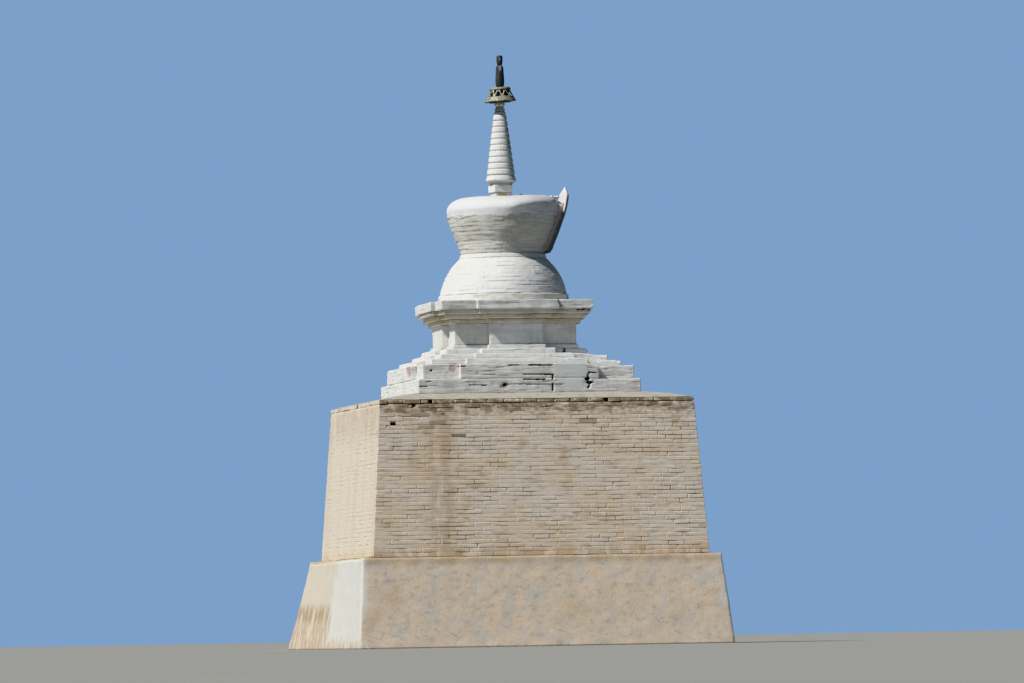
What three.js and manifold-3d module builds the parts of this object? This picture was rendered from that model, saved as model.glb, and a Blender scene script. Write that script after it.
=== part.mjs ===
// A whitewashed brick stupa on its brick pier, from ground level to the tip of the finial.
// Millimetres, +Z up. -Y faces outward, and the niche is on the +Y side.
// The origin is on the ground, under the middle of the pier.
import * as THREE from 'three';
import { mergeVertices } from 'three/addons/utils/BufferGeometryUtils.js';
import Module from 'manifold-3d';

// Heights above the ground of the joints between the pieces, from the bottom up.
const FOOT_TOP = 1120;
const LEDGE_TOP = 1175;
const SHAFT_TOP = 3155;
const PIER_TOP = 3210;
const FILLET_TOP = 3300;
const WAIST_BASE_TOP = 3955;
const WAIST_TOP = 4235;
const CORBEL_COUNT = 3;
const CORBEL_TOP = 4412;
const CORNICE_TOP = 4535;
const DOME_RING_TOP = 4635;
const DOME_TOP = 5118;
const NECK_RING_TOP = 5178;
const BOWL_TOP = 5690;
const CAP_TOP = 5930;
const HARMIKA_FOOTING_TOP = 6000;
const HARMIKA_TOP = 6094;
const SPIRE_FOOT_TOP = 6147;
const SPIRE_TOP = 7121;
const COLLAR_TOP = 7193;
const CANOPY_RIM_TOP = 7282;
const CANOPY_PLATE_BOTTOM = 7362;
const CANOPY_TOP = 7402;
const FINIAL_BODY_TOP = 7688;
const FINIAL_TOP = 7820;

// How far the hand-built upper pieces stand off the middle of the pier, along Y.
const BODY_SHIFT = -58;
const SPIRE_SHIFT = -6;

// Half sizes of the battered pier, along X and along Y. The foot spreads most on its -X side.
const FOOT_BOTTOM_HALF_X = 2457;
const FOOT_BOTTOM_NEAR_HALF_Y = 2466;
const FOOT_BOTTOM_FAR_HALF_Y = 2636;
const FOOT_TOP_HALF = [2187, 2371];
const LEDGE_HALF = [2175, 2355];
const SHAFT_BOTTOM_HALF = [2124, 2214];
const SHAFT_TOP_HALF = [1974, 2076];
const TOP_COURSE_HALF = [1978, 2081];
const FILLET_BOTTOM_HALF = [1950, 2052];
const FILLET_TOP_HALF = [1500, 1500];

// Plans of the stepped base. Each is a square whose sides carry a shallow central projection:
// corner is the half size of the square, projection that of the cross, width half its breadth.
const TIER_1 = { top: 3490, half: 1475 };
const UPPER_TIERS = [
  { top: 3685, corner: 1400, projection: 1475, width: 920 },
  { top: 3760, corner: 1260, projection: 1335, width: 809 },
  { top: 3830, corner: 1110, projection: 1185, width: 667 },
  { top: 3903, corner: 950, projection: 1025, width: 495 },
];
const WAIST_PLAN = { corner: 810, projection: 900, width: 358 };
const WAIST_BASE_SPREAD = 26;
const CORNICE_PLAN = { corner: 1014, projection: 1076, width: 546 };
const CORBEL_STEP = 0.28;

// Radii of the round pieces.
const DOME_RING_RADIUS = 862;
const DOME_ELLIPSE = { radius: 845, height: 801, centre: 4530 };
const NECK_RING_RADIUS = 568;
const BOWL_PROFILE = [
  [560, NECK_RING_TOP],
  [604, 5331],
  [653, 5437],
  [694, 5543],
  [730, BOWL_TOP],
];
const CAP_PROUD = 8;
const CAP_WIDEST = { radius: 743, height: 5765 };
const CAP_FLAT_RADIUS = 480;
const HARMIKA_FOOTING_HALF = 117;
const HARMIKA_HALF = 125;
const HARMIKA_TURN = THREE.MathUtils.degToRad(13);
const SPIRE_FOOT_RADIUS = 142;

// The spire: eleven full rings and two small ones below the collar.
const RING_COUNT = 13;
const FULL_RING_COUNT = 11;
const FULL_RING_PITCH = 80;
const RING_TAPER = 11.3;
const RING_RADIUS_LOWEST = 195;
const RING_RADIUS_LARGEST = 178;
const RING_RADIUS_TOP = 84;
const SMALL_RING_RADII = [76, 65];
const SMALL_RING_TAPER = 5;
const RING_LIP_SHARE = 0.25;
const RING_SHOULDER_SHARE = 0.75;
const GROOVE_DEPTH = 16;
const COLLAR_PROFILE = [
  [50, SPIRE_TOP],
  [52, 7140],
  [63, 7174],
  [63, COLLAR_TOP],
];
const BEAD_COUNT = 6;
const BEAD_START = 0.2;
const BEAD_RADIUS = 15;
const BEAD_RING_RADIUS = 54;
const BEAD_HEIGHT = 7157;

// The pierced metal parasol and the finial above it.
const CANOPY_RIM_RADIUS = 200;
const CANOPY_RIM_SECTION = [
  [150, 7199],
  [193, COLLAR_TOP],
  [CANOPY_RIM_RADIUS, 7203],
  [196, 7219],
  [180, CANOPY_RIM_TOP],
  [150, CANOPY_RIM_TOP],
];
const CANOPY_CORE_PROFILE = [
  [118, COLLAR_TOP],
  [88, CANOPY_PLATE_BOTTOM],
];
const CANOPY_PLATE_PROFILE = [
  [133, CANOPY_PLATE_BOTTOM],
  [133, 7394],
  [125, CANOPY_TOP],
];
const STRUT_PAIRS = 9;
const STRUT_WIDTH = 21;
const STRUT_DEPTH = 13;
const STRUT_OVERRUN = 0.16;
const STRUT_FOOT_RADIUS = 169;
const STRUT_HEAD_RADIUS = 121;
const FINIAL_PROFILE = [
  [40, CANOPY_TOP],
  [53, 7416],
  [57, 7445],
  [58, 7500],
  [55, 7540],
  [52, 7590],
  [50, 7640],
  [46, 7668],
  [30, FINIAL_BODY_TOP],
];
const FINIAL_HEAD_PROFILE = [
  [25, FINIAL_BODY_TOP],
  [34, 7703],
  [39, 7728],
  [41, 7760],
  [39, 7785],
  [33, 7805],
  [20, FINIAL_TOP],
];

// The pointed shield of the niche on the +Y side of the bowl. It follows the flare of the bowl:
// its outer face stands at these distances from the axis at these heights.
const SHIELD_FACE = [
  [586, 5196],
  [619, 5276],
  [680, 5435],
  [738, 5594],
  [778, 5700],
  [806, 5806],
  [832, 5965],
  [856, 6080],
];
const SHIELD_THICKNESS = 30;
const SHIELD_ARCH = { width: 600, foot: 5190, spring: 5935, tip: 6078 };
const SHIELD_RIB = { width: 500, foot: 5215, spring: 5760, tip: 5875 };
const SHIELD_RIB_DEPTH = 150;
const FRAME_THICKNESS = 14;
const FRAME_OUTER = { width: 560, foot: 5212, spring: 5925, tip: 6052 };
const FRAME_INNER = { width: 464, foot: 5262, spring: 5890, tip: 5998 };
const ARCH_STEPS = 9;
const ARCH_SWEEP = 1.4;

// How finely round pieces are cut, and the gap that is left round a cut or turned piece.
const ROUND_SIDES = 48;
const SPIRE_SIDES = 24;
const BEAD_SIDES = [8, 6];
const ARC_STEPS = 8;
const FIT_GAP = 0.3;

const wasm = await Module();
wasm.setup();

// Finishes.
const limewash = new THREE.MeshStandardMaterial({ color: 0xe9e7df, roughness: 0.92, metalness: 0 });
const pierBrick = new THREE.MeshStandardMaterial({ color: 0xb49b7c, roughness: 0.95, metalness: 0 });
const footPlaster = new THREE.MeshStandardMaterial({ color: 0xcdbfa9, roughness: 0.95, metalness: 0 });
const mortar = new THREE.MeshStandardMaterial({ color: 0xd8cdb4, roughness: 0.95, metalness: 0 });
const stainedLime = new THREE.MeshStandardMaterial({ color: 0xb9b28a, roughness: 0.92, metalness: 0 });
const weatheredMetal = new THREE.MeshStandardMaterial({ color: 0x6d6747, roughness: 0.7, metalness: 0.6 });
const darkMetal = new THREE.MeshStandardMaterial({ color: 0x2b2f28, roughness: 0.6, metalness: 0.6 });

// The stupa is the pier, the round and square body on it, and the spire on that.
const stupa = new THREE.Group();
const pier = new THREE.Group();
const body = new THREE.Group();
const spire = new THREE.Group();
stupa.add(pier);
pier.add(body);
body.add(spire);
body.position.y = BODY_SHIFT;
spire.position.y = SPIRE_SHIFT;

// Put a finished piece into the stupa, under its own name and off the axis as it was built.
function place(name, geometry, material, group = pier) {
  const mesh = new THREE.Mesh(geometry, material);
  mesh.name = name;
  group.add(mesh);
}

// A piece with a rectangular plan that tapers from its lower to its upper half sizes.
function frustum(lower, upper, bottom, top) {
  const box = new THREE.BoxGeometry(2, 2, top - bottom);
  const points = box.getAttribute('position');
  for (let index = 0; index < points.count; index += 1) {
    const isUpper = points.getZ(index) > 0;
    const half = isUpper ? upper : lower;
    const x = Math.sign(points.getX(index)) * half[0];
    const y = Math.sign(points.getY(index)) * half[1];
    points.setXYZ(index, x, y, isUpper ? top : bottom);
  }
  return box;
}

// The outline of a square with a shallow projection in the middle of each side.
function crossOutline({ corner, projection, width }) {
  const side = [
    [corner, -corner],
    [corner, -width],
    [projection, -width],
    [projection, width],
    [corner, width],
  ];
  const outline = [];
  for (let turn = 0; turn < 4; turn += 1) {
    for (const [x, y] of side) {
      const turned = [[x, y], [-y, x], [-x, -y], [y, -x]][turn];
      outline.push(new THREE.Vector2(turned[0], turned[1]));
    }
  }
  return new THREE.Shape(outline);
}

// A course of masonry with a stepped plan.
function steppedCourse(plan, bottom, top) {
  const options = { depth: top - bottom, bevelEnabled: false };
  return new THREE.ExtrudeGeometry(crossOutline(plan), options).translate(0, 0, bottom);
}

// A plan between two others: 0 gives the first and 1 the second.
function planBetween(first, second, share) {
  const mix = (key) => Math.round(first[key] + (second[key] - first[key]) * share);
  return { corner: mix('corner'), projection: mix('projection'), width: mix('width') };
}

// A round solid about the Z axis, from the radius and height pairs of its outside.
function turned(profile, sides = ROUND_SIDES) {
  const bottom = profile[0][1];
  const top = profile[profile.length - 1][1];
  const closed = [[0, bottom], ...profile, [0, top]];
  const points = closed.map(([radius, height]) => new THREE.Vector2(radius, height));
  return new THREE.LatheGeometry(points, sides).rotateX(Math.PI / 2);
}

// A round ring about the Z axis, from the corners of its section in order.
function turnedRing(section, sides = ROUND_SIDES) {
  const points = [...section, section[0]].map(([radius, height]) => new THREE.Vector2(radius, height));
  return new THREE.LatheGeometry(points, sides).rotateX(Math.PI / 2);
}

// A three.js geometry as a solid that can be joined and cut.
function toSolid(geometry) {
  const bare = geometry.clone();
  bare.deleteAttribute('normal');
  bare.deleteAttribute('uv');
  const merged = mergeVertices(bare, 1e-3);
  return new wasm.Manifold(
    new wasm.Mesh({
      numProp: 3,
      vertProperties: new Float32Array(merged.getAttribute('position').array),
      triVerts: new Uint32Array(merged.getIndex().array),
    }),
  );
}

// A joined or cut solid as a three.js geometry.
function toGeometry(solid) {
  const mesh = solid.getMesh();
  const geometry = new THREE.BufferGeometry();
  geometry.setAttribute('position', new THREE.BufferAttribute(mesh.vertProperties, 3));
  geometry.setIndex(new THREE.BufferAttribute(mesh.triVerts, 1));
  geometry.computeVertexNormals();
  return geometry;
}

// The flared foot: a tapering block whose two far corners are drawn out along Y.
function footGeometry() {
  const lower = [FOOT_BOTTOM_HALF_X, FOOT_BOTTOM_NEAR_HALF_Y];
  const foot = frustum(lower, FOOT_TOP_HALF, 0, FOOT_TOP);
  const points = foot.getAttribute('position');
  for (let index = 0; index < points.count; index += 1) {
    if (points.getX(index) < 0 && points.getZ(index) === 0) {
      points.setY(index, Math.sign(points.getY(index)) * FOOT_BOTTOM_FAR_HALF_Y);
    }
  }
  return foot;
}

// The pier: the foot, a ledge, a battered shaft, the rough top course and the bed of mortar.
function addPier() {
  place('pier_foot', footGeometry(), footPlaster);
  place('pier_ledge_course', frustum(LEDGE_HALF, LEDGE_HALF, FOOT_TOP, LEDGE_TOP), pierBrick);
  place('pier_shaft', frustum(SHAFT_BOTTOM_HALF, SHAFT_TOP_HALF, LEDGE_TOP, SHAFT_TOP), pierBrick);
  place('pier_top_course', frustum(TOP_COURSE_HALF, TOP_COURSE_HALF, SHAFT_TOP, PIER_TOP), pierBrick);
  place('mortar_fillet', frustum(FILLET_BOTTOM_HALF, FILLET_TOP_HALF, PIER_TOP, FILLET_TOP), mortar);
}

// The five tiers: a plain square one, then four with projecting middles that step back. The
// last of them is centred under the body.
function addTiers() {
  const plain = [TIER_1.half, TIER_1.half];
  place('tier_1', frustum(plain, plain, FILLET_TOP, TIER_1.top), limewash);
  let bottom = TIER_1.top;
  UPPER_TIERS.forEach((tier, index) => {
    const group = index === UPPER_TIERS.length - 1 ? body : pier;
    place(`tier_${index + 2}`, steppedCourse(tier, bottom, tier.top), limewash, group);
    bottom = tier.top;
  });
}

// The square waist with its base course, the corbels above it and the cornice slab.
function addWaist() {
  const waistBottom = UPPER_TIERS[UPPER_TIERS.length - 1].top;
  const basePlan = {
    corner: WAIST_PLAN.corner + WAIST_BASE_SPREAD,
    projection: WAIST_PLAN.projection + WAIST_BASE_SPREAD,
    width: WAIST_PLAN.width + WAIST_BASE_SPREAD,
  };
  place('waist_base_course', steppedCourse(basePlan, waistBottom, WAIST_BASE_TOP), limewash, body);
  place('waist_block', steppedCourse(WAIST_PLAN, WAIST_BASE_TOP, WAIST_TOP), limewash, body);
  const corbelHeight = (CORBEL_TOP - WAIST_TOP) / CORBEL_COUNT;
  for (let number = 1; number <= CORBEL_COUNT; number += 1) {
    const plan = planBetween(WAIST_PLAN, CORNICE_PLAN, number * CORBEL_STEP);
    const bottom = WAIST_TOP + (number - 1) * corbelHeight;
    const course = steppedCourse(plan, bottom, bottom + corbelHeight);
    place(`corbel_course_${number}`, course, limewash, body);
  }
  place('cornice_slab', steppedCourse(CORNICE_PLAN, CORBEL_TOP, CORNICE_TOP), limewash, body);
}

// The outline of the dome, a part of an ellipse.
function domeProfile() {
  const { radius, height, centre } = DOME_ELLIPSE;
  const start = Math.asin((DOME_RING_TOP - centre) / height);
  const end = Math.asin((DOME_TOP - centre) / height);
  const profile = [];
  for (let step = 0; step <= ARC_STEPS; step += 1) {
    const angle = start + ((end - start) * step) / ARC_STEPS;
    profile.push([radius * Math.cos(angle), centre + height * Math.sin(angle)]);
  }
  profile[0][1] = DOME_RING_TOP;
  profile[ARC_STEPS][1] = DOME_TOP;
  return profile;
}

// The outline of the plaster cap: proud of the bowl, then a rounded shoulder to a flat top.
function capProfile() {
  const brickEdge = BOWL_PROFILE[BOWL_PROFILE.length - 1][0];
  const profile = [[brickEdge + CAP_PROUD, BOWL_TOP]];
  const across = CAP_WIDEST.radius - CAP_FLAT_RADIUS;
  const up = CAP_TOP - CAP_WIDEST.height;
  for (let step = 0; step <= ARC_STEPS; step += 1) {
    const angle = (Math.PI / 2) * (step / ARC_STEPS);
    const radius = CAP_FLAT_RADIUS + across * Math.cos(angle);
    profile.push([radius, CAP_WIDEST.height + up * Math.sin(angle)]);
  }
  profile[profile.length - 1][1] = CAP_TOP;
  return profile;
}

// The round body: ring, dome, neck ring, flaring bowl and its plaster cap.
function addBody() {
  const ring = [[DOME_RING_RADIUS, CORNICE_TOP], [DOME_RING_RADIUS, DOME_RING_TOP]];
  const neck = [[NECK_RING_RADIUS, DOME_TOP], [NECK_RING_RADIUS, NECK_RING_TOP]];
  place('dome_base_ring', turned(ring), limewash, body);
  place('dome', turned(domeProfile()), limewash, body);
  place('neck_ring', turned(neck), limewash, body);
  place('bowl', turned(BOWL_PROFILE), limewash, body);
  place('bowl_cap', turned(capProfile()), limewash, body);
}

// The outline of a pointed arch seen from the front, X across and height up: straight jambs and
// two curved flanks that sweep in to the tip.
function pointedArch({ width, foot, spring, tip }) {
  const half = width / 2;
  const right = [];
  for (let step = 0; step < ARCH_STEPS; step += 1) {
    const share = step / ARCH_STEPS;
    const sweep = Math.cos((Math.PI / 2) * share) ** ARCH_SWEEP;
    right.push([half * sweep, spring + (tip - spring) * share]);
  }
  const left = right.map(([x, height]) => [-x, height]).reverse();
  const outline = [[-half, foot], [half, foot], ...right, [0, tip], ...left];
  return new THREE.Shape(outline.map(([x, height]) => new THREE.Vector2(x, height)));
}

// A pointed arch as a solid prism that runs far enough along Y to cut any layer of the shield.
function archPrism(arch) {
  const depth = 2 * CAP_WIDEST.radius;
  const deep = new THREE.ExtrudeGeometry(pointedArch(arch), { depth, bevelEnabled: false });
  return toSolid(deep.rotateX(Math.PI / 2).translate(0, depth, 0));
}

// A layer that follows the face of the shield, between two distances outward from that face.
function shieldLayer(inner, outer, width) {
  const outline = [
    ...SHIELD_FACE.map(([y, height]) => [y + outer, height]),
    ...SHIELD_FACE.map(([y, height]) => [y + inner, height]).reverse(),
  ];
  const shape = new THREE.Shape(outline.map(([y, height]) => new THREE.Vector2(y, height)));
  const layer = new THREE.ExtrudeGeometry(shape, { depth: width, bevelEnabled: false });
  const upright = new THREE.Matrix4().makeBasis(
    new THREE.Vector3(0, 1, 0),
    new THREE.Vector3(0, 0, 1),
    new THREE.Vector3(1, 0, 0),
  );
  return toSolid(layer.applyMatrix4(upright).translate(-width / 2, 0, 0));
}

// The leaning niche: its shield with the rib that ties it to the bowl, and the raised frame.
function addNiche() {
  const clearOfBowl = BOWL_PROFILE.map(([radius, height]) => [radius + FIT_GAP, height]);
  const clearOfCap = capProfile().map(([radius, height]) => [radius + FIT_GAP, height + FIT_GAP]);
  clearOfCap[0][1] = BOWL_TOP - FIT_GAP;
  const slab = shieldLayer(-SHIELD_THICKNESS, 0, SHIELD_ARCH.width).intersect(archPrism(SHIELD_ARCH));
  const rib = shieldLayer(-SHIELD_RIB_DEPTH, -SHIELD_THICKNESS / 2, SHIELD_RIB.width);
  const shield = slab
    .add(rib.intersect(archPrism(SHIELD_RIB)))
    .subtract(toSolid(turned(clearOfBowl)))
    .subtract(toSolid(turned(clearOfCap)));
  place('niche_shield', toGeometry(shield), limewash, body);

  const frame = shieldLayer(FIT_GAP, FIT_GAP + FRAME_THICKNESS, FRAME_OUTER.width)
    .intersect(archPrism(FRAME_OUTER))
    .subtract(archPrism(FRAME_INNER));
  place('niche_frame', toGeometry(frame), limewash, body);
}

// A square block, turned a little on the bowl as it was set by hand.
function turnedBlock(half, bottom, top) {
  return frustum([half, half], [half, half], bottom, top).rotateZ(HARMIKA_TURN);
}

// The small square box between bowl and spire.
function addHarmika() {
  const footing = turnedBlock(HARMIKA_FOOTING_HALF, CAP_TOP, HARMIKA_FOOTING_TOP);
  place('harmika_footing', footing, stainedLime, spire);
  place('harmika', turnedBlock(HARMIKA_HALF, HARMIKA_FOOTING_TOP, HARMIKA_TOP), limewash, spire);
}

// One spire ring: a groove at its foot, a lip that stands out over it, and a sloping side.
function ringProfile(bottom, top, radius, taper) {
  const height = top - bottom;
  return [
    [radius - GROOVE_DEPTH, bottom],
    [radius, bottom + height * RING_LIP_SHARE],
    [radius - taper / 2, bottom + height * RING_SHOULDER_SHARE],
    [radius - taper - GROOVE_DEPTH / 2, top],
  ];
}

// The largest radius of a spire ring, counted from the lowest.
function ringRadius(number) {
  if (number === 1) {
    return RING_RADIUS_LOWEST;
  }
  if (number > FULL_RING_COUNT) {
    return SMALL_RING_RADII[number - FULL_RING_COUNT - 1];
  }
  const sloping = RING_RADIUS_TOP + RING_TAPER * (FULL_RING_COUNT - number);
  return Math.min(RING_RADIUS_LARGEST, sloping);
}

// The thirteen rings of the spire; the lowest stands on a short round foot of its own.
function addRings() {
  const smallHeight = SPIRE_TOP - SPIRE_FOOT_TOP - FULL_RING_COUNT * FULL_RING_PITCH;
  const smallPitch = smallHeight / (RING_COUNT - FULL_RING_COUNT);
  let bottom = SPIRE_FOOT_TOP;
  for (let number = 1; number <= RING_COUNT; number += 1) {
    const isFull = number <= FULL_RING_COUNT;
    const top = bottom + (isFull ? FULL_RING_PITCH : smallPitch);
    const taper = isFull ? RING_TAPER : SMALL_RING_TAPER;
    const profile = ringProfile(bottom, top, ringRadius(number), taper);
    if (number === 1) {
      profile.unshift([SPIRE_FOOT_RADIUS, HARMIKA_TOP], [SPIRE_FOOT_RADIUS, SPIRE_FOOT_TOP]);
    }
    const name = `spire_ring_${String(number).padStart(2, '0')}`;
    place(name, turned(profile, SPIRE_SIDES), isFull ? limewash : stainedLime, spire);
    bottom = top;
  }
}

// The collar under the parasol, with a ring of beads set in it.
function addCollar() {
  let collar = toSolid(turned(COLLAR_PROFILE, SPIRE_SIDES));
  for (let index = 0; index < BEAD_COUNT; index += 1) {
    const angle = (2 * Math.PI * (index + BEAD_START)) / BEAD_COUNT;
    const bead = new THREE.SphereGeometry(BEAD_RADIUS, ...BEAD_SIDES);
    bead.translate(BEAD_RING_RADIUS * Math.cos(angle), BEAD_RING_RADIUS * Math.sin(angle), BEAD_HEIGHT);
    collar = collar.add(toSolid(bead));
  }
  place('spire_collar', toGeometry(collar), stainedLime, spire);
}

// One flat strut of the parasol, from a point on its rim to a point under its top plate.
function strut(footAngle, headAngle) {
  const foot = new THREE.Vector3(
    STRUT_FOOT_RADIUS * Math.cos(footAngle),
    STRUT_FOOT_RADIUS * Math.sin(footAngle),
    CANOPY_RIM_TOP,
  );
  const head = new THREE.Vector3(
    STRUT_HEAD_RADIUS * Math.cos(headAngle),
    STRUT_HEAD_RADIUS * Math.sin(headAngle),
    CANOPY_PLATE_BOTTOM,
  );
  const along = head.clone().sub(foot);
  const overrun = along.length() * STRUT_OVERRUN;
  const middle = foot.clone().add(head).multiplyScalar(0.5);
  const outward = new THREE.Vector3(middle.x, middle.y, 0).normalize();
  along.normalize();
  const across = new THREE.Vector3().crossVectors(outward, along).normalize();
  const facing = new THREE.Vector3().crossVectors(across, along);
  const bar = new THREE.BoxGeometry(STRUT_WIDTH, head.distanceTo(foot) + 2 * overrun, STRUT_DEPTH);
  const turn = new THREE.Matrix4().makeBasis(across, along, facing);
  turn.setPosition(middle);
  return toSolid(bar.applyMatrix4(turn));
}

// The pierced skirt of the parasol: struts that zigzag between its rim and its top plate.
function openwork() {
  let bars = null;
  for (let pair = 0; pair < STRUT_PAIRS; pair += 1) {
    const foot = (2 * Math.PI * pair) / STRUT_PAIRS;
    const half = Math.PI / STRUT_PAIRS;
    for (const head of [foot - half, foot + half]) {
      const bar = strut(foot, head);
      bars = bars ? bars.add(bar) : bar;
    }
  }
  const bottom = CANOPY_RIM_TOP + FIT_GAP;
  const top = CANOPY_PLATE_BOTTOM - FIT_GAP;
  const band = turned([[CANOPY_RIM_RADIUS, bottom], [CANOPY_RIM_RADIUS, top]], SPIRE_SIDES);
  return toGeometry(bars.intersect(toSolid(band)));
}

// The metal parasol: core, pierced skirt, rim band and top plate.
function addCanopy() {
  place('canopy_core', turned(CANOPY_CORE_PROFILE, SPIRE_SIDES), darkMetal, spire);
  place('canopy_rim', turnedRing(CANOPY_RIM_SECTION), weatheredMetal, spire);
  place('canopy_openwork', openwork(), weatheredMetal, spire);
  place('canopy_top_plate', turned(CANOPY_PLATE_PROFILE), weatheredMetal, spire);
}

// The tall vase of the finial and its rounded head.
function addFinial() {
  place('finial_body', turned(FINIAL_PROFILE, SPIRE_SIDES), darkMetal, spire);
  place('finial_head', turned(FINIAL_HEAD_PROFILE, SPIRE_SIDES), darkMetal, spire);
}

addPier();
addTiers();
addWaist();
addBody();
addNiche();
addHarmika();
addRings();
addCollar();
addCanopy();
addFinial();

export default stupa;
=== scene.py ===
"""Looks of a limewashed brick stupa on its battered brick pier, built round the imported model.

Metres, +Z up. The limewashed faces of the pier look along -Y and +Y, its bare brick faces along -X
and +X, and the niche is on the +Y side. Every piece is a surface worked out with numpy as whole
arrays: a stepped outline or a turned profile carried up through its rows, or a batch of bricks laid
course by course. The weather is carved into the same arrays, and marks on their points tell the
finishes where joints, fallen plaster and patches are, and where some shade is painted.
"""

from __future__ import annotations

import logging
import math
import sys
from collections.abc import Callable
from dataclasses import dataclass, field
from enum import Enum
from functools import partial, reduce
from operator import add
from typing import Protocol

import bpy
import numpy as np
from mathutils import Matrix, Vector

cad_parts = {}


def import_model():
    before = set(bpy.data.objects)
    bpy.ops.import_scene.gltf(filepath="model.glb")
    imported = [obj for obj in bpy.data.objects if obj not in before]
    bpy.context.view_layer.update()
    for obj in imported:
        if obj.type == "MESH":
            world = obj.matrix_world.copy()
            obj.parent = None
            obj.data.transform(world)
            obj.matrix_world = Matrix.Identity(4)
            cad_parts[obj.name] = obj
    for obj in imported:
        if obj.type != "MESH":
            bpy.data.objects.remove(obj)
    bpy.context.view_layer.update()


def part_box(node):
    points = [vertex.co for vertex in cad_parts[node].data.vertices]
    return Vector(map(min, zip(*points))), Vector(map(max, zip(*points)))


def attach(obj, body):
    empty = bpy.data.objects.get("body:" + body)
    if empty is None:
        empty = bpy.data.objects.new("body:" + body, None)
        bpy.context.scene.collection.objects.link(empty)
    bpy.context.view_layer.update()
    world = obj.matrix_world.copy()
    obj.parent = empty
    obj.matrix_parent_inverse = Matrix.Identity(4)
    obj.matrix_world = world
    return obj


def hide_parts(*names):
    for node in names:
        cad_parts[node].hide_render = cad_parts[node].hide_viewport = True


log = logging.getLogger("stupa")

Array = np.ndarray
Colour = tuple[float, float, float]
Size = tuple[float, float, float]
Profile = tuple[tuple[float, float], ...]
Socket = bpy.types.NodeSocket
Value = Socket | Colour | float
HalfSizes = Callable[[Array], tuple[Array, Array]]

BODY = "root"
BODY_AXIS = -0.058
SPIRE_AXIS = -0.065
PARASOL_AXIS = -0.058
COURSE = 0.055
BOWL_COURSE = 0.0595
SAG = 0.043
SAG_HEIGHTS = (3.30, 3.68, 3.86, 3.95)
SAG_RUN = (0.55, 1.15)


class Slot(Enum):
    """The record's material slots."""

    LIME = "lime_masonry"
    BRICK = "pier_brick"
    FOOT = "foot_plaster"
    MORTAR = "lime_mortar"
    STAINED = "stained_lime"
    SHEET = "weathered_metal"
    DARK = "dark_metal"


class Damage(Enum):
    """What has happened to a spot of masonry."""

    CRACK = "crack"
    HOLE = "hole"
    FALLEN = "fallen"
    PATCHED = "patched"


CRACK, HOLE, FALLEN, PATCHED = Damage


class Face(Enum):
    """The pair of opposite faces that a damaged spot lies on; the far one has it turned about."""

    BARE = "bare"
    WASHED = "washed"


def smoothstep(values: Array, low: float, high: float) -> Array:
    """Share from 0 at low to 1 at high, with level ends (3t^2 - 2t^3)."""
    share = np.clip((values - low) / (high - low), 0.0, 1.0)
    return share * share * (3.0 - 2.0 * share)


def lattice(cells: Array, seed: int) -> Array:
    """A repeatable number between -1 and 1 for each whole-numbered cell.

    Args:
        cells: Whole numbers, the last axis holding three of them.
        seed: Which set of numbers.

    Returns:
        One number for each cell.
    """
    mixed = cells[..., 0] * 374761393 + cells[..., 1] * 668265263 + cells[..., 2] * 974634777
    mixed = mixed + seed * 362437
    mixed = (mixed ^ (mixed >> 13)) * 1274126177
    mixed = (mixed ^ (mixed >> 16)) & 0xFFFF
    return mixed / 32767.5 - 1.0


def lattice_of(first: Array, second: Array | int, seed: int) -> Array:
    """A repeatable number between -1 and 1 for each pair of whole numbers."""
    return lattice(joined(first, second, 0).astype(np.int64), seed)


def noise(points: Array, size: float | Size, seed: int) -> Array:
    """Smooth noise between -1 and 1: lattice numbers blended across cells of the given size.

    Args:
        points: Places, the last axis holding x, y and z.
        size: Edge of a cell, or its three edges.
        seed: Which noise.

    Returns:
        One number for each place.
    """
    cells = points / np.asarray(size)
    corner = np.floor(cells).astype(np.int64)
    share = cells - corner
    share = share * share * (3.0 - 2.0 * share)
    total = np.zeros(points.shape[:-1])
    for step in np.ndindex(2, 2, 2):
        weight = np.prod(np.where(np.array(step) == 1, share, 1.0 - share), axis=-1)
        total += weight * lattice(corner + np.array(step), seed)
    return total


def rough(points: Array, size: float | Size, seed: int, layers: int = 3) -> Array:
    """Layers of noise added up, each half as large and half as strong as the one before.

    Args:
        points: Places, the last axis holding x, y and z.
        size: Edge or edges of the largest cell.
        seed: Which noise.
        layers: How many layers.

    Returns:
        One number for each place, mostly between -1 and 1.
    """
    edges = np.asarray(size, dtype=float)
    return sum(noise(points, edges / 2**k, seed + k) / 2**k for k in range(layers)) / 1.4


def distance_to_path(along: Array, height: Array, path: Profile) -> Array:
    """Shortest distance from each place on a wall to a path of straight stretches on it.

    Args:
        along: Distance along the wall.
        height: Height on the wall.
        path: Corners of the path as pairs of along and height.

    Returns:
        The distances.
    """
    nearest = np.full(along.shape, np.inf)
    for (a0, h0), (a1, h1) in zip(path[:-1], path[1:]):
        da, dh = a1 - a0, h1 - h0
        share = ((along - a0) * da + (height - h0) * dh) / max(da * da + dh * dh, 1e-12)
        share = np.clip(share, 0.0, 1.0)
        nearest = np.minimum(nearest, np.hypot(along - a0 - share * da, height - h0 - share * dh))
    return nearest


def turns(count: int) -> Array:
    """That many angles at even steps once round, from 0."""
    return np.linspace(0, 2 * math.pi, count, endpoint=False)


def joined(*parts: Array | float) -> Array:
    """The given arrays or numbers stretched to one shape and stacked along a new last axis."""
    return np.stack(np.broadcast_arrays(*parts), axis=-1)


def lifted(profile: Profile, rise: float) -> Profile:
    """The same profile with this much added to each height."""
    return tuple((radius, height + rise) for radius, height in profile)


def circle(count: int) -> Array:
    """Points round a circle of radius 1, anticlockwise from +X."""
    return joined(np.cos(turns(count)), np.sin(turns(count)))


def ball(cut: float, rows: int, around: int) -> Array:
    """Rows of circles sin a wide at the heights -cos a, the angle cut being left out at each pole."""
    polar = np.linspace(cut, math.pi - cut, rows)
    return raised(np.sin(polar)[:, None, None] * circle(around), -np.cos(polar))


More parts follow.
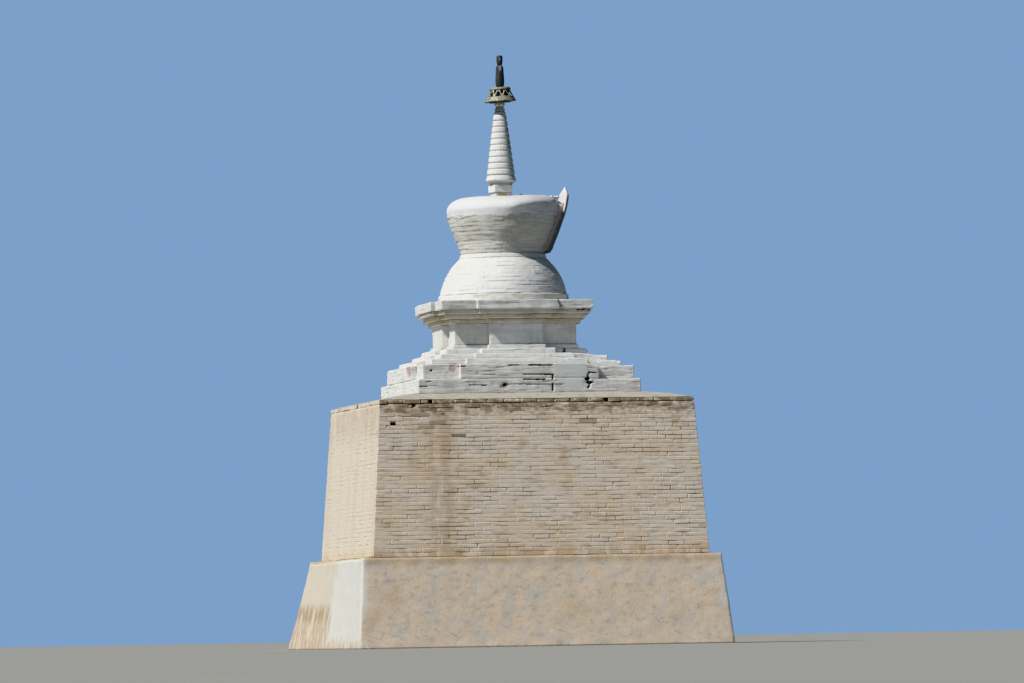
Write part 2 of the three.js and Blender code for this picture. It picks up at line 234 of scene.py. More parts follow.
def raised(flat: Array, height: Array) -> Array:
    """Places in x, y and z, from rows of places in plan and each row's height."""
    return np.concatenate([flat, np.broadcast_to(height[:, None, None], (*flat.shape[:2], 1))], axis=-1)


def rectangle(x: Array, y: Array) -> Array:
    """Corners of rectangles with these half sizes, anticlockwise, as rows, corners and x, y."""
    return joined(x, -y, x, y, -x, y, -x, -y).reshape(-1, 4, 2)


@dataclass
class Surface:
    """Points, faces and marks of a mesh that is still being put together."""

    points: Array
    quads: Array
    triangles: Array
    marks: dict[str, Array] = field(default_factory=dict)

    def __add__(self, other: "Surface") -> "Surface":
        """Both surfaces as one, with marks that only one has set to 0 on the other."""
        shift = len(self.points)
        blank, other_blank = np.zeros(shift), np.zeros(len(other.points))
        marks = {
            name: np.concatenate([self.marks.get(name, blank), other.marks.get(name, other_blank)])
            for name in sorted(set(self.marks) | set(other.marks))
        }
        return Surface(
            np.vstack([self.points, other.points]),
            np.vstack([self.quads, other.quads + shift]),
            np.vstack([self.triangles, other.triangles + shift]),
            marks,
        )

    def mesh(self, name: str, smooth: bool) -> bpy.types.Mesh:
        """Put the arrays into a Blender mesh.

        Args:
            name: Name of the mesh.
            smooth: Whether its faces are shaded as one curved skin.

        Returns:
            The mesh.
        """
        made = bpy.data.meshes.new(name)
        corners = np.concatenate([self.quads.ravel(), self.triangles.ravel()])
        sides = np.repeat([4, 3], [len(self.quads), len(self.triangles)])
        made.vertices.add(len(self.points))
        made.vertices.foreach_set("co", self.points.astype(np.float32).ravel())
        made.loops.add(len(corners))
        made.loops.foreach_set("vertex_index", corners.astype(np.int32))
        made.polygons.add(len(sides))
        made.polygons.foreach_set("loop_start", (np.cumsum(sides) - sides).astype(np.int32))
        made.update(calc_edges=True)
        made.polygons.foreach_set("use_smooth", np.full(len(sides), smooth))
        for mark, values in self.marks.items():
            layer = made.attributes.new(mark, "FLOAT", "POINT")
            layer.data.foreach_set("value", values.astype(np.float32))
        made.update()
        return made


def closed_skin(rows: Array, marks: dict[str, Array] | None = None, ring: bool = False) -> Surface:
    """A closed surface through rows of points: a tube capped at both ends, or bent into a ring.

    Args:
        rows: Points as rows, columns and x, y, z. Columns run anticlockwise round the piece.
        marks: Numbers for each row and column; a ring takes none.
        ring: Whether the last row joins on to the first, instead of a pole closing each end.

    Returns:
        The surface, with its faces outward.
    """
    count, around = rows.shape[:2]
    index = np.arange(count * around).reshape(count, around)
    here = index if ring else index[:-1]
    above = np.roll(index, -1, axis=0) if ring else index[1:]
    quads = joined(here, np.roll(here, -1, axis=1), np.roll(above, -1, axis=1), above).reshape(-1, 4)
    points = rows.reshape(-1, 3)
    if ring:
        return Surface(points, quads, np.zeros((0, 3), dtype=int))
    poles = np.stack([rows[0].mean(axis=0), rows[-1].mean(axis=0)])
    low = np.full(around, count * around)
    bottom = joined(low, np.roll(index[0], -1), index[0])
    top = joined(low + 1, index[-1], np.roll(index[-1], -1))
    values = {name: np.append(mark.ravel(), [0.0, 0.0]) for name, mark in (marks or {}).items()}
    return Surface(np.vstack([points, poles]), quads, np.vstack([bottom, top]), values)


def walk_outline(corners: Array, spacing: float, radius: float) -> tuple[Array, Array, Array]:
    """Points along closed polygons, close together at the corners, whose outward ones are rounded.

    A point at distance d < r from an outward corner moves on to the quarter circle of radius r there:
    with the angle a = 45 deg * (1 - d / r) it lies r (1 - sin a) along and r (1 - cos a) inward.

    Args:
        corners: For each row the corners of its polygon, anticlockwise, as rows, corners and x, y.
        spacing: Distance between points on the straight.
        radius: Radius of the rounded corners.

    Returns:
        The points as rows, columns and x, y; each column's distance round the outline; and each
        column's outward direction.
    """
    guide = corners[0]
    ahead = np.roll(guide, -1, axis=0) - guide
    length = np.hypot(ahead[:, 0], ahead[:, 1])
    ahead = ahead / length[:, None]
    behind = np.roll(ahead, 1, axis=0)
    outward_corner = behind[:, 0] * ahead[:, 1] - behind[:, 1] * ahead[:, 0] > 0
    stretches, travelled = [], []
    for number, run in enumerate(length):
        bend = min(radius, run / 3)
        near = bend * np.array([0.0, 1 / 3, 2 / 3])
        middle = np.linspace(bend, run - bend, max(2, round((run - 2 * bend) / spacing) + 1))
        places = np.concatenate([near, middle, run - near[:0:-1]])
        following = (number + 1) % len(length)
        start = np.clip(1 - places / bend, 0, 1) * (math.pi / 4) * outward_corner[number]
        end = np.clip(1 - (run - places) / bend, 0, 1) * (math.pi / 4) * outward_corner[following]
        eased = np.where(start > 0, bend * (1 - np.sin(start)), places)
        eased = np.where(end > 0, run - bend * (1 - np.sin(end)), eased)
        inward = bend * (1 - np.cos(start)) + bend * (1 - np.cos(end))
        share = (eased / run)[None, :, None]
        line = corners[:, number, None] * (1 - share) + corners[:, following, None] * share
        side = np.array([-ahead[number, 1], ahead[number, 0]])
        stretches.append(line + inward[None, :, None] * side)
        travelled.append(length[:number].sum() + places)
    points = np.concatenate(stretches, axis=1)
    step = np.roll(points[0], -1, axis=0) - np.roll(points[0], 1, axis=0)
    outward = step[:, ::-1] * [1, -1]
    outward = outward / np.hypot(outward[:, 0], outward[:, 1])[:, None]
    return points, np.concatenate(travelled), outward


@dataclass
class Section:
    """The rows of a piece from its underside over its face to its top, and how each row moves."""

    inset: Array
    height: Array
    outward: Array
    upward: Array

    @classmethod
    def course(cls, bottom: float, top: float, reach: float, edge: float, step: float) -> "Section":
        """Rows of a course of masonry with rounded edges.

        Args:
            bottom: Height of its underside.
            top: Height of its top.
            reach: How far the underside and the top run inward.
            edge: Radius of its upper and lower edges.
            step: Distance between rows on its face.

        Returns:
            The section.
        """
        bend = np.linspace(0, math.pi / 2, 4)
        sine, cosine = np.sin(bend), np.cos(bend)
        face = np.linspace(bottom + edge, top - edge, max(2, round((top - bottom - 2 * edge) / step)))[1:-1]
        flat = np.linspace(reach, edge, max(3, round(reach / 0.03)) + 1)[:-1]
        parts = (
            (flat, flat * 0 + bottom, flat * 0, flat * 0 - 1),
            (edge * (1 - sine), bottom + edge * (1 - cosine), sine, -cosine),
            (face * 0, face, face * 0 + 1, face * 0),
            (edge * (1 - cosine), top - edge * (1 - sine), cosine, sine),
            (flat[::-1], flat * 0 + top, flat * 0, flat * 0 + 1),
        )
        return cls(*(np.concatenate(part) for part in zip(*parts)))


@dataclass(frozen=True)
class Flaw:
    """A damaged spot on a wall: a path on it, how wide and how deep it is."""

    damage: Damage
    path: Profile
    width: float
    depth: float
    face: Face = Face.BARE


@dataclass(frozen=True)
class Coursing:
    """How courses, joints and lumps show through the finish of a wall. Metres."""

    pitch: float = 0.0485
    joint_width: float = 0.0055
    joint_depth: float = 0.010
    joint_share: float = 0.42
    brick: float = 0.215
    relief: float = 0.0022
    ripple: float = 0.0030
    lumps: float = 0.0035
    chips: float = 0.012
    stain: float = 0.5
    seed: int = 1

    @classmethod
    def plain(cls, seed: int, ripple: float, lumps: float, relief: float = 0.0) -> "Coursing":
        """No courses at all, only ripples and lumps."""
        return cls(1.0, 0.004, 0.0, -1.0, 0.3, relief, ripple, lumps, 0.0, 0.0, seed)

    def carve(self, points: Array, along: Array, base: float, edge: Array, fade: Array) -> dict[str, Array]:
        """Work out how far each point of a wall moves outward, and how dark its joint is.

        A joint is a groove exp(-(d / width)^2) at distance d from the nearest course line, open
        where noise along that line is high. Each brick stands out by its own small amount, and
        ripples that are long and low, and lumps, are added. Edges lose chips where noise is high.

        Args:
            points: Places on the wall, as rows, columns and x, y, z.
            along: Distance round the piece for each column.
            base: Height of the lowest course line.
            edge: How near each place is to an edge, from 0 to 1.
            fade: How strongly the joints of each row are marked, from 0 to 1.

        Returns:
            The "move" outward, and the marks "joint", "bare" and "patch".
        """
        level = (points[..., 2] - base + 0.004 * noise(points, 0.45, self.seed)) / self.pitch
        line = np.round(level)
        spot = joined(points[..., 0], points[..., 1], line * 0.31)
        threshold = (0.5 - self.joint_share) * 1.3
        running = smoothstep(rough(spot, (0.26, 0.26, 0.31), self.seed + 3), threshold, threshold + 0.3)
        bed = np.exp(-(((level - line) * self.pitch / self.joint_width) ** 2)) * running
        course = np.floor(level)
        place = along / self.brick + 0.5 * (course % 2) + 0.11 * lattice_of(course, 0, 5)
        column = np.floor(place)
        across = np.minimum(place - column, 1 - place + column) * self.brick
        upright = lattice_of(course, np.round(place), self.seed + 7) > 1.0 - 0.9 * self.joint_share
        end = np.exp(-((across / self.joint_width) ** 2)) * upright * 0.7
        joint = np.maximum(bed, end) * (1 - 0.4 * edge)
        relief = self.relief * lattice_of(course, column, self.seed + 9)
        ripples = self.ripple * rough(points, (0.15, 0.15, 0.022), self.seed + 13)
        lumps = self.lumps * rough(points, 0.32, self.seed + 17, layers=2)
        chip = self.chips * edge * smoothstep(noise(points, 0.055, self.seed + 19), 0.25, 0.9)
        move = relief + ripples + lumps - self.joint_depth * joint - chip
        return {"move": move, "joint": self.stain * joint * fade, "bare": move * 0, "patch": move * 0}


def apply_flaws(points: Array, outward: Array, flaws: tuple[Flaw, ...], fields: dict[str, Array]) -> None:
    """Work damaged spots into the fields of a wall.

    Args:
        points: Places on the wall.
        outward: Each column's outward direction.
        flaws: The damaged spots.
        fields: "move", "joint", "bare" and "patch" arrays, changed in place.
    """
    for flaw in flaws:
        facing, running, way = (0, 1, 1) if flaw.face is Face.BARE else (1, 0, -1)
        along = points[..., running] * np.sign(points[..., facing]) * way
        ragged = 0.35 * flaw.width * rough(points, max(0.02, flaw.width), 71)
        away = distance_to_path(along, points[..., 2], flaw.path) + ragged
        soft = 0.25 * flaw.width
        share = 1 - smoothstep(away, flaw.width / 2 - soft, flaw.width / 2 + soft)
        share = share * (np.abs(outward[:, facing]) > 0.7)
        if flaw.damage is PATCHED:
            fields["patch"] = np.maximum(fields["patch"], share)
            fields["move"] = fields["move"] * (1 - 0.85 * share) + flaw.depth * share
            fields["joint"] = fields["joint"] * (1 - share)
            continue
        fields["move"] = fields["move"] - flaw.depth * share
        mark = "bare" if flaw.damage is FALLEN else "joint"
        fields[mark] = np.maximum(fields[mark], share)


class Nodes:
    """Adds nodes to one node tree and joins them up."""

    def __init__(self, tree: bpy.types.NodeTree) -> None:
        """Start on a tree that exists."""
        self.tree = tree

    def node(self, kind: str, values: dict[str | int, Value], **settings: str) -> bpy.types.Node:
        """Add a node.

        Args:
            kind: Its type.
            values: A socket or a value for each of its inputs that isn't left alone.
            **settings: Its properties.

        Returns:
            The node.
        """
        made = self.tree.nodes.new(kind)
        for name, value in settings.items():
            setattr(made, name, value)
        self.fill(made, values)
        return made

    def fill(self, node: bpy.types.Node, values: dict[str | int, Value]) -> None:
        """Join inputs of a node to sockets, or set their own values.

        Args:
            node: The node.
            values: A socket or a value for each input, by its name or number.
        """
        for name, value in values.items():
            socket = node.inputs[name]
            if isinstance(value, bpy.types.NodeSocket):
                self.tree.links.new(value, socket)
            else:
                socket.default_value = (*value, 1.0) if socket.type == "RGBA" else value

    def parts(self, vector: Socket) -> list[Socket]:
        """The three numbers of a vector."""
        return list(self.node("ShaderNodeSeparateXYZ", {0: vector}).outputs)

    def mix(self, share: Value, first: Value, second: Value) -> Socket:
        """Two colours blended by a share."""
        return self.node("ShaderNodeMix", {0: share, 6: first, 7: second}, data_type="RGBA").outputs[2]


class Shade(Nodes):
    """The nodes of one material."""

    def __init__(self, name: str) -> None:
        """Start a material with its Principled surface."""
        self.material = bpy.data.materials.new(name)
        self.material.use_nodes = True
        super().__init__(self.material.node_tree)
        self.place = self.node("ShaderNodeTexCoord", {}).outputs["Object"]
        self.at = self.parts(self.place)
        self.facing = self.parts(self.node("ShaderNodeNewGeometry", {}).outputs["Normal"])

    def noise(
        self, size: float, stretch: Size = (1, 1, 1), detail: float = 4, shift: float = 0, tilt: float = 0
    ) -> Socket:
        """Fractal noise from 0 to 1 on Object coordinates.

        Args:
            size: Size of its largest blots, in metres.
            stretch: How many times longer a blot is along each axis.
            detail: How many finer layers are added.
            shift: Moves the pattern, so that two don't fall together.
            tilt: Turns the pattern about the X axis, in radians.

        Returns:
            The noise as a socket.
        """
        values = {
            "Vector": self.place,
            "Location": (shift, shift * 0.7, shift * 0.3),
            "Rotation": (tilt, 0, 0),
            "Scale": tuple(size * s for s in stretch),
        }
        laid = self.node("ShaderNodeMapping", values, vector_type="TEXTURE").outputs["Vector"]
        values = {"Vector": laid, "Scale": 1, "Detail": detail, "Roughness": 0.6}
        return self.node("ShaderNodeTexNoise", values).outputs["Fac"]

    def mark(self, name: str) -> Socket:
        """The mark of that name on the piece's points."""
        return self.node("ShaderNodeAttribute", {}, attribute_name=name).outputs["Fac"]

    def math(self, operation: str, first: Value, second: Value = 0.0) -> Socket:
        """A sum of one or two numbers, by the name of its operation."""
        return self.node("ShaderNodeMath", {0: first, 1: second}, operation=operation).outputs[0]

    def step(self, value: Socket, low: float, high: float, most: float = 1.0) -> Socket:
        """A smooth share of a number.

        Args:
            value: The number.
            low: Where the share is 0.
            high: Where the share is at its most.
            most: The largest share.

        Returns:
            The share.
        """
        values = {"Value": value, "From Min": low, "From Max": high, "To Max": most}
        made = self.node("ShaderNodeMapRange", values, interpolation_type="SMOOTHSTEP")
        return made.outputs["Result"]

    def blot(self, low: float, high: float, most: float, size: float, *rest: Size | float) -> Socket:
        """Blots: a smooth share of noise, whose other values are those of the method noise."""
        return self.step(self.noise(size, *rest), low, high, most)

    def joint(self, low: float, high: float, most: float) -> Socket:
        """A smooth share of the mark for joints and holes."""
        return self.step(self.mark("joint"), low, high, most)

    def sideways(self, number: int) -> Socket:
        """How squarely a face looks along an axis, either way."""
        return self.math("ABSOLUTE", self.facing[number])

    def product(self, *shares: Socket) -> Socket:
        """The product of several shares."""
        return reduce(partial(self.math, "MULTIPLY"), shares)

    def most_of(self, *shares: Socket) -> Socket:
        """The largest of several shares."""
        return reduce(partial(self.math, "MAXIMUM"), shares)

    def coats(self, ground: Value, *coats: tuple[Value, Value]) -> Value:
        """A ground with coats laid over it in turn, each a colour and the share that it covers."""
        return reduce(lambda under, coat: self.mix(coat[1], under, coat[0]), coats, ground)

    def finish(
        self, colour: Value, roughness: Value, height: Value, lift: float, metal: float = 0.0
    ) -> bpy.types.Material:
        """Join the colour, the roughness and the bump to the surface.

        Args:
            colour: Colour, as a socket.
            roughness: Roughness, as a socket.
            height: Bump height from 0 to 1, as a socket.
            lift: How many metres a height of 1 stands for.
            metal: Metalness.

        Returns:
            The finished material.
        """
        bump = self.node("ShaderNodeBump", {"Strength": 1.0, "Distance": lift, "Height": height})
        surface = {"Base Color": colour, "Roughness": roughness, "Normal": bump.outputs["Normal"]}
        surface |= {"Metallic": metal, "Specular IOR Level": 0.25}
        self.fill(self.tree.nodes["Principled BSDF"], surface)
        return self.material


class Finish(Protocol):
    """What every finish has: a name, a slot and a material."""

    name: str
    slot: Slot

    def material(self) -> bpy.types.Material:
        """Build the finish."""


@dataclass(frozen=True)
class Limewash:
    """Old limewash over brick: brushed coats, washed-out streaks, dark joints, bare spots and painted shade
    on the side away from the sun.
    """

    name: str = "limewash"
    slot: Slot = Slot.LIME
    white: Colour = (0.80, 0.795, 0.77)
    shade: Colour = (0.62, 0.62, 0.595)
    rain: Colour = (0.46, 0.45, 0.41)
    dust: Colour = (0.58, 0.55, 0.48)
    soft: Colour = (0.36, 0.355, 0.33)
    joint: Colour = (0.07, 0.07, 0.065)
    bare: Colour = (0.62, 0.50, 0.44)
    stain: Colour = (0.42, 0.33, 0.29)
    patch: Colour = (0.66, 0.67, 0.67)
    # Colour of the darker -X and +X faces and of the painted shade on the side away from the sun.
    dirt_and_shade: Colour = (0.46, 0.455, 0.42)
    worn: float = 0.40
    streaks: float = 0.35
    mottle: float = 0.03
    sides: float = 0.0
    # Share and normal range of the painted shade on faces turned towards +Y, away from the sun.
    lee_shade: float = 0.55
    lee_shade_range: tuple[float, float] = (-0.1, 0.75)

    def material(self) -> bpy.types.Material:
        """Build the finish."""
        shade = Shade(self.name)
        colour = shade.coats(
            self.white,
            (self.shade, shade.blot(0.42, 0.66, self.worn, 0.34, (1, 1, 1), 5)),
            (self.shade, shade.blot(0.50, 0.72, 0.45, self.mottle, (1.6, 1.6, 0.5), 6, 3)),
            (self.rain, shade.blot(0.52, 0.72, self.streaks, 0.05, (1, 1, 7), 4, 9)),
            # Painted shade on the side away from the sun, and the darker -X and +X faces.
            (self.dirt_and_shade, self.grime_and_shade(shade)),
            (self.dust, shade.step(shade.facing[2], 0.5, 0.95, 0.35)),
            (self.patch, shade.mark("patch")),
            (shade.mix(shade.noise(0.02, shift=5), self.bare, self.stain), shade.mark("bare")),
            # The joint mark also carries the painted shade that some pieces set.
            (self.soft, shade.joint(0.08, 0.5, 0.75)),
            (self.joint, shade.joint(0.55, 0.95, 0.95)),
        )
        height = shade.math("ADD", shade.noise(0.012, (2, 2, 0.8), 6), shade.noise(0.05, detail=3))
        return shade.finish(colour, 0.93, height, 0.0022)

    def grime_and_shade(self, shade: Shade) -> Socket:
        """Darker on the -X and +X faces, and painted shade on the +Y side, away from the sun."""
        side = shade.step(shade.sideways(0), 0.6, 0.85, self.sides)
        blot = shade.blot(0.34, 0.62, 1, 0.16, (1.5, 1.5, 0.7), 6, 12)
        lee_shade = shade.step(shade.facing[1], *self.lee_shade_range, self.lee_shade)
        uneven = shade.math("ADD", shade.blot(0.3, 0.7, 0.4, 0.09, (1.8, 1.8, 0.4), 6, 17), 0.75)
        return shade.most_of(shade.product(side, blot), shade.product(lee_shade, uneven))


@dataclass(frozen=True)
class PierBrick:
    """Pale facing brick with grey and brown stains, limewashed on its -Y and +Y faces."""

    name: str = "pier_brick"
    slot: Slot = Slot.BRICK
    buff: Colour = (0.74, 0.61, 0.46)
    grey: Colour = (0.735, 0.655, 0.55)
    brown: Colour = (0.50, 0.37, 0.245)
    grain: Colour = (0.40, 0.32, 0.23)
    fleck: Colour = (0.45, 0.37, 0.28)
    crust: Colour = (0.22, 0.17, 0.12)
    wash: Colour = (0.735, 0.665, 0.55)
    washed: Colour = (0.655, 0.56, 0.445)
    browned: Colour = (0.54, 0.44, 0.33)
    ochre: Colour = (0.55, 0.45, 0.28)
    soot: Colour = (0.12, 0.095, 0.07)

    def material(self) -> bpy.types.Material:
        """Build the finish."""
        shade = Shade(self.name)
        tone = shade.math("MULTIPLY", shade.mark("tone"), 0.15)
        cloud = shade.math("ADD", shade.noise(0.55, (1, 1, 0.8), 5), tone)
        blot = shade.math("ADD", shade.noise(0.30, (1, 1, 0.7), 6, 11), tone)
        grain = shade.noise(0.012, (1, 1, 1), 6, 2)
        high = shade.product(shade.step(shade.at[2], 2.75, 3.15), shade.noise(0.07, (1, 1.8, 1), 6, 4))
        colour = shade.coats(
            self.grey,
            (self.buff, shade.step(cloud, 0.49, 0.73)),
            (self.brown, shade.step(blot, 0.62, 0.84, 0.75)),
            (self.grain, shade.step(grain, 0.48, 0.78, 0.28)),
            (self.fleck, shade.blot(0.50, 0.72, 0.5, 0.045, (1, 2.6, 1), 6, 21)),
            (self.brown, self.runs(shade)),
            (self.crust, shade.step(high, 0.30, 0.58, 0.85)),
            (self.limewash(shade), shade.step(shade.sideways(1), 0.62, 0.78)),
            (self.grain, shade.joint(0.1, 0.5, 0.4)),
            (self.soot, shade.joint(0.5, 0.95, 0.92)),
        )
        return shade.finish(colour, 0.95, shade.math("ADD", grain, shade.noise(0.04)), 0.002)

    def runs(self, shade: Shade) -> Socket:
        """Brown water stains: two upright bands, and a belt above the ledge."""
        _, along, height = shade.at
        ragged = shade.blot(0.34, 0.60, 1, 0.14, (1, 1, 3), 5, 13)
        band = shade.product(shade.step(along, -1.52, -1.36), shade.step(along, -1.04, -1.20), ragged)
        thin = shade.product(shade.step(along, -1.78, -1.67), shade.step(along, -1.53, -1.62), ragged)
        thin = shade.product(thin, shade.step(height, 1.9, 2.6, 0.7))
        belt = shade.product(shade.step(height, 1.36, 1.20), shade.step(ragged, 0.0, 0.9))
        return shade.math("MULTIPLY", shade.most_of(band, thin, belt), 0.62)

    def limewash(self, shade: Shade) -> Socket:
        """The cream wash: pale, with upright bands and a browner top and foot."""
        height = shade.at[2]
        top = shade.product(shade.step(height, 2.2, 3.0), shade.step(height, 3.17, 3.14))
        top = shade.product(top, shade.noise(0.2, (1, 1, 3), 5, 8))
        low = shade.product(shade.step(height, 1.42, 1.2), shade.noise(0.2, (1.5, 1.5, 1), 5, 9))
        return shade.coats(
            self.wash,
            (self.washed, shade.blot(0.44, 0.68, 0.6, 0.35, (1, 1, 9), 4, 1.5)),
            (self.washed, shade.blot(0.52, 0.72, 0.5, 0.045, (2.2, 2.2, 0.6), 5, 6)),
            (self.browned, shade.step(top, 0.25, 0.62, 0.6)),
            (self.ochre, shade.step(low, 0.3, 0.6, 0.6)),
        )


@dataclass(frozen=True)
class FootPlaster:
    """Rough earth plaster on the foot, with old whitewash left on its -Y and +Y faces."""

    name: str = "foot_plaster"
    slot: Slot = Slot.FOOT
    tan: Colour = (0.68, 0.555, 0.42)
    grey: Colour = (0.59, 0.53, 0.455)
    earth: Colour = (0.60, 0.475, 0.335)
    speck: Colour = (0.38, 0.32, 0.26)
    brown: Colour = (0.48, 0.375, 0.25)
    cream: Colour = (0.655, 0.595, 0.495)
    sand: Colour = (0.72, 0.62, 0.48)
    wedge: Colour = (0.47, 0.36, 0.23)
    rust: Colour = (0.56, 0.43, 0.31)
    white: Colour = (0.70, 0.69, 0.635)
    crust: Colour = (0.12, 0.09, 0.07)

    def material(self) -> bpy.types.Material:
        """Build the finish."""
        shade = Shade(self.name)
        side = shade.step(shade.sideways(1), 0.45, 0.75)
        colour = shade.coats(
            self.bare_earth(shade),
            (self.cream_face(shade), side),
            (self.white, self.whitewashed(shade, side)),
            (self.crust, shade.joint(0.1, 0.9, 0.88)),
        )
        grain = shade.math("ADD", shade.noise(0.02, detail=6), shade.noise(0.08, (1, 1, 1.6), 4))
        return shade.finish(colour, 0.95, grain, 0.005)

    def bare_earth(self, shade: Shade) -> Socket:
        """The -X and +X faces: mottled tan and grey, brown at the top, with pale strokes low down."""
        stroke = shade.blot(0.5, 0.62, 0.75, 0.035, (1, 4.5, 0.8), 4, 15, -0.45)
        top = shade.product(shade.step(shade.at[2], 0.98, 1.14), shade.noise(0.2, (1, 1, 2), 5, 2))
        return shade.coats(
            self.tan,
            (self.grey, shade.blot(0.40, 0.64, 1, 0.20, (1, 1, 1), 8)),
            (self.earth, shade.blot(0.5, 0.7, 0.7, 0.5, (1, 1, 1), 4, 3)),
            (self.speck, shade.blot(0.50, 0.68, 0.45, 0.06, (1, 1.7, 1), 6, 5)),
            (self.cream, shade.blot(0.50, 0.68, 0.5, 0.10, (1, 1.5, 0.8), 6, 8)),
            (self.cream, shade.product(stroke, shade.step(shade.at[2], 0.36, 0.22))),
            (self.brown, shade.step(top, 0.22, 0.55, 0.7)),
        )

    def cream_face(self, shade: Shade) -> Socket:
        """The -Y and +Y faces under the whitewash: cream, streaked with tan, and tan at the foot."""
        height = shade.at[2]
        streak = shade.blot(0.42, 0.56, 1, 0.09, (1, 1, 5), 5, 6)
        wedge = shade.product(shade.step(height, 0.26, 0.40), shade.step(height, 0.66, 0.50), streak)
        return shade.coats(
            self.cream,
            (self.sand, shade.blot(0.46, 0.66, 0.6, 0.20, (1, 1, 5), 5, 4)),
            (self.wedge, wedge),
            (self.rust, shade.product(shade.step(height, 0.46, 0.22), shade.step(streak, 0.0, 0.7))),
        )

    def whitewashed(self, shade: Shade, side: Socket) -> Socket:
        """Where the whitewash is left: towards +X on the washed faces, and a little round the corner."""
        along, across, height = shade.at
        runs = shade.noise(0.09, (1, 1, 6), 6, 4)
        edge = shade.math("ADD", along, shade.math("MULTIPLY", runs, 0.9))
        thin = shade.math("ADD", shade.step(height, 0.0, 0.34, 0.5), shade.noise(0.07, (1, 1, 4), 5, 3))
        face = shade.product(shade.step(edge, 0.48, 0.74), side, shade.step(thin, 0.42, 0.74))
        reach = shade.math("ADD", shade.math("ABSOLUTE", across), shade.math("MULTIPLY", runs, 0.30))
        corner = shade.product(shade.step(reach, 2.40, 2.56, 0.85), shade.step(height, 0.30, 0.62))
        return shade.most_of(face, shade.product(corner, shade.step(along, 2.0, 2.1)))


@dataclass(frozen=True)
class Mortar:
    """Cream lime mortar, spread by hand."""

    name: str = "lime_mortar"
    slot: Slot = Slot.MORTAR
    cream: Colour = (0.48, 0.45, 0.385)
    worn: Colour = (0.36, 0.325, 0.26)
    speck: Colour = (0.27, 0.235, 0.18)

    def material(self) -> bpy.types.Material:
        """Build the finish."""
        shade = Shade(self.name)
        broad = shade.blot(0.45, 0.68, 0.8, 0.13, (1, 1, 1), 6)
        speck = shade.blot(0.55, 0.75, 0.5, 0.014, (1, 1, 1), 5, 3)
        colour = shade.coats(self.cream, (self.worn, broad), (self.speck, speck))
        return shade.finish(colour, 0.95, shade.noise(0.03, detail=6), 0.006)


@dataclass(frozen=True)
class OldMetal:
    """Painted sheet metal, faded and stained, with its paint worn to a paler ground in places, a pale painted
    highlight where a piece marks one, and painted shade on its +Y side, away from the sun.
    """

    name: str
    slot: Slot
    paint: Colour
    faded: Colour
    stain: Colour
    ground: Colour = (0.42, 0.38, 0.31)
    # Near black: for joints, and for the painted shade on the +Y side.
    crust: Colour = (0.03, 0.03, 0.025)
    worn_from: float = 0.60
    metal: float = 0.35

    def material(self) -> bpy.types.Material:
        """Build the finish."""
        shade = Shade(self.name)
        worn = shade.blot(self.worn_from, self.worn_from + 0.1, 1, 0.04, (1, 1, 1.6), 6, 6)
        # Painted shade: faces turned towards +Y, away from the sun, are darkened to near black.
        lee_shade = shade.step(shade.facing[1], 0.25, 0.85, 0.75)
        colour = shade.coats(
            self.paint,
            (self.faded, shade.blot(0.42, 0.62, 1, 0.05, (1, 1, 1), 6)),
            (self.stain, shade.blot(0.5, 0.68, 0.8, 0.018, (1, 1, 5), 5, 2)),
            # The patch mark is worn paint, and on the finial's head a painted highlight.
            (self.ground, shade.most_of(worn, shade.mark("patch"))),
            (self.crust, shade.most_of(lee_shade, shade.joint(0.1, 0.9, 0.9))),
        )
        roughness = shade.math("ADD", shade.blot(0.3, 0.7, 0.3, 0.02, (1, 1, 1), 4, 3), 0.5)
        return shade.finish(colour, roughness, shade.noise(0.01, detail=5), 0.0012, self.metal)


# Where a finish below gives a darker colour and share for the side away from the sun, these paint its shade;
# on the bowl and cap they also shift where that shade begins.
LIMEWASH = Limewash()
TIER_LIMEWASH = Limewash("tier_limewash", sides=0.50)
CORNICE_LIMEWASH = Limewash("cornice_limewash", sides=0.75)
RING_LIMEWASH = Limewash("ring_limewash", dirt_and_shade=(0.27, 0.30, 0.295), lee_shade=0.9, lee_shade_range=(0.15, 0.75))
STREAKED_LIMEWASH = Limewash(
    "streaked_limewash", shade=(0.58, 0.57, 0.52), streaks=0.45, worn=0.5, sides=0.25
)
DUSTY_LIMEWASH = Limewash("dusty_limewash", dirt_and_shade=(0.52, 0.47, 0.38), sides=0.7, lee_shade=0.7)
DOME_LIMEWASH = Limewash("dome_limewash", dirt_and_shade=(0.37, 0.38, 0.37), lee_shade=0.8)
SMOOTH_PLASTER = Limewash("smooth_plaster", white=(0.81, 0.81, 0.81), worn=0.2, streaks=0.22, mottle=0.05)
CAP_PLASTER = Limewash(
    "cap_plaster", white=(0.80, 0.80, 0.80), dirt_and_shade=(0.40, 0.40, 0.42), worn=0.2, streaks=0.12, mottle=0.05,
    lee_shade=0.78, lee_shade_range=(-0.35, 0.60),
)
BARE_COURSES = Limewash(
    "bare_courses", white=(0.73, 0.72, 0.66), shade=(0.54, 0.52, 0.455), soft=(0.29, 0.28, 0.24),
    dirt_and_shade=(0.41, 0.40, 0.365), worn=0.7, streaks=0.4, lee_shade=0.72, lee_shade_range=(-0.38, 0.02),
)
PINK_PLASTER = Limewash(
    "pink_plaster", white=(0.55, 0.44, 0.41), shade=(0.42, 0.34, 0.32), dirt_and_shade=(0.34, 0.28, 0.26),
    patch=(0.50, 0.47, 0.42), worn=0.8, streaks=0.3,
)
BOX_LIMEWASH = Limewash(
    "box_limewash", white=(0.84, 0.835, 0.81), dirt_and_shade=(0.60, 0.56, 0.47), streaks=0.15, sides=0.2, lee_shade=0.3
)
TAN_CORBELS = Limewash(
    "tan_corbels", white=(0.70, 0.655, 0.56), shade=(0.53, 0.47, 0.355), worn=0.85, streaks=0.4
)
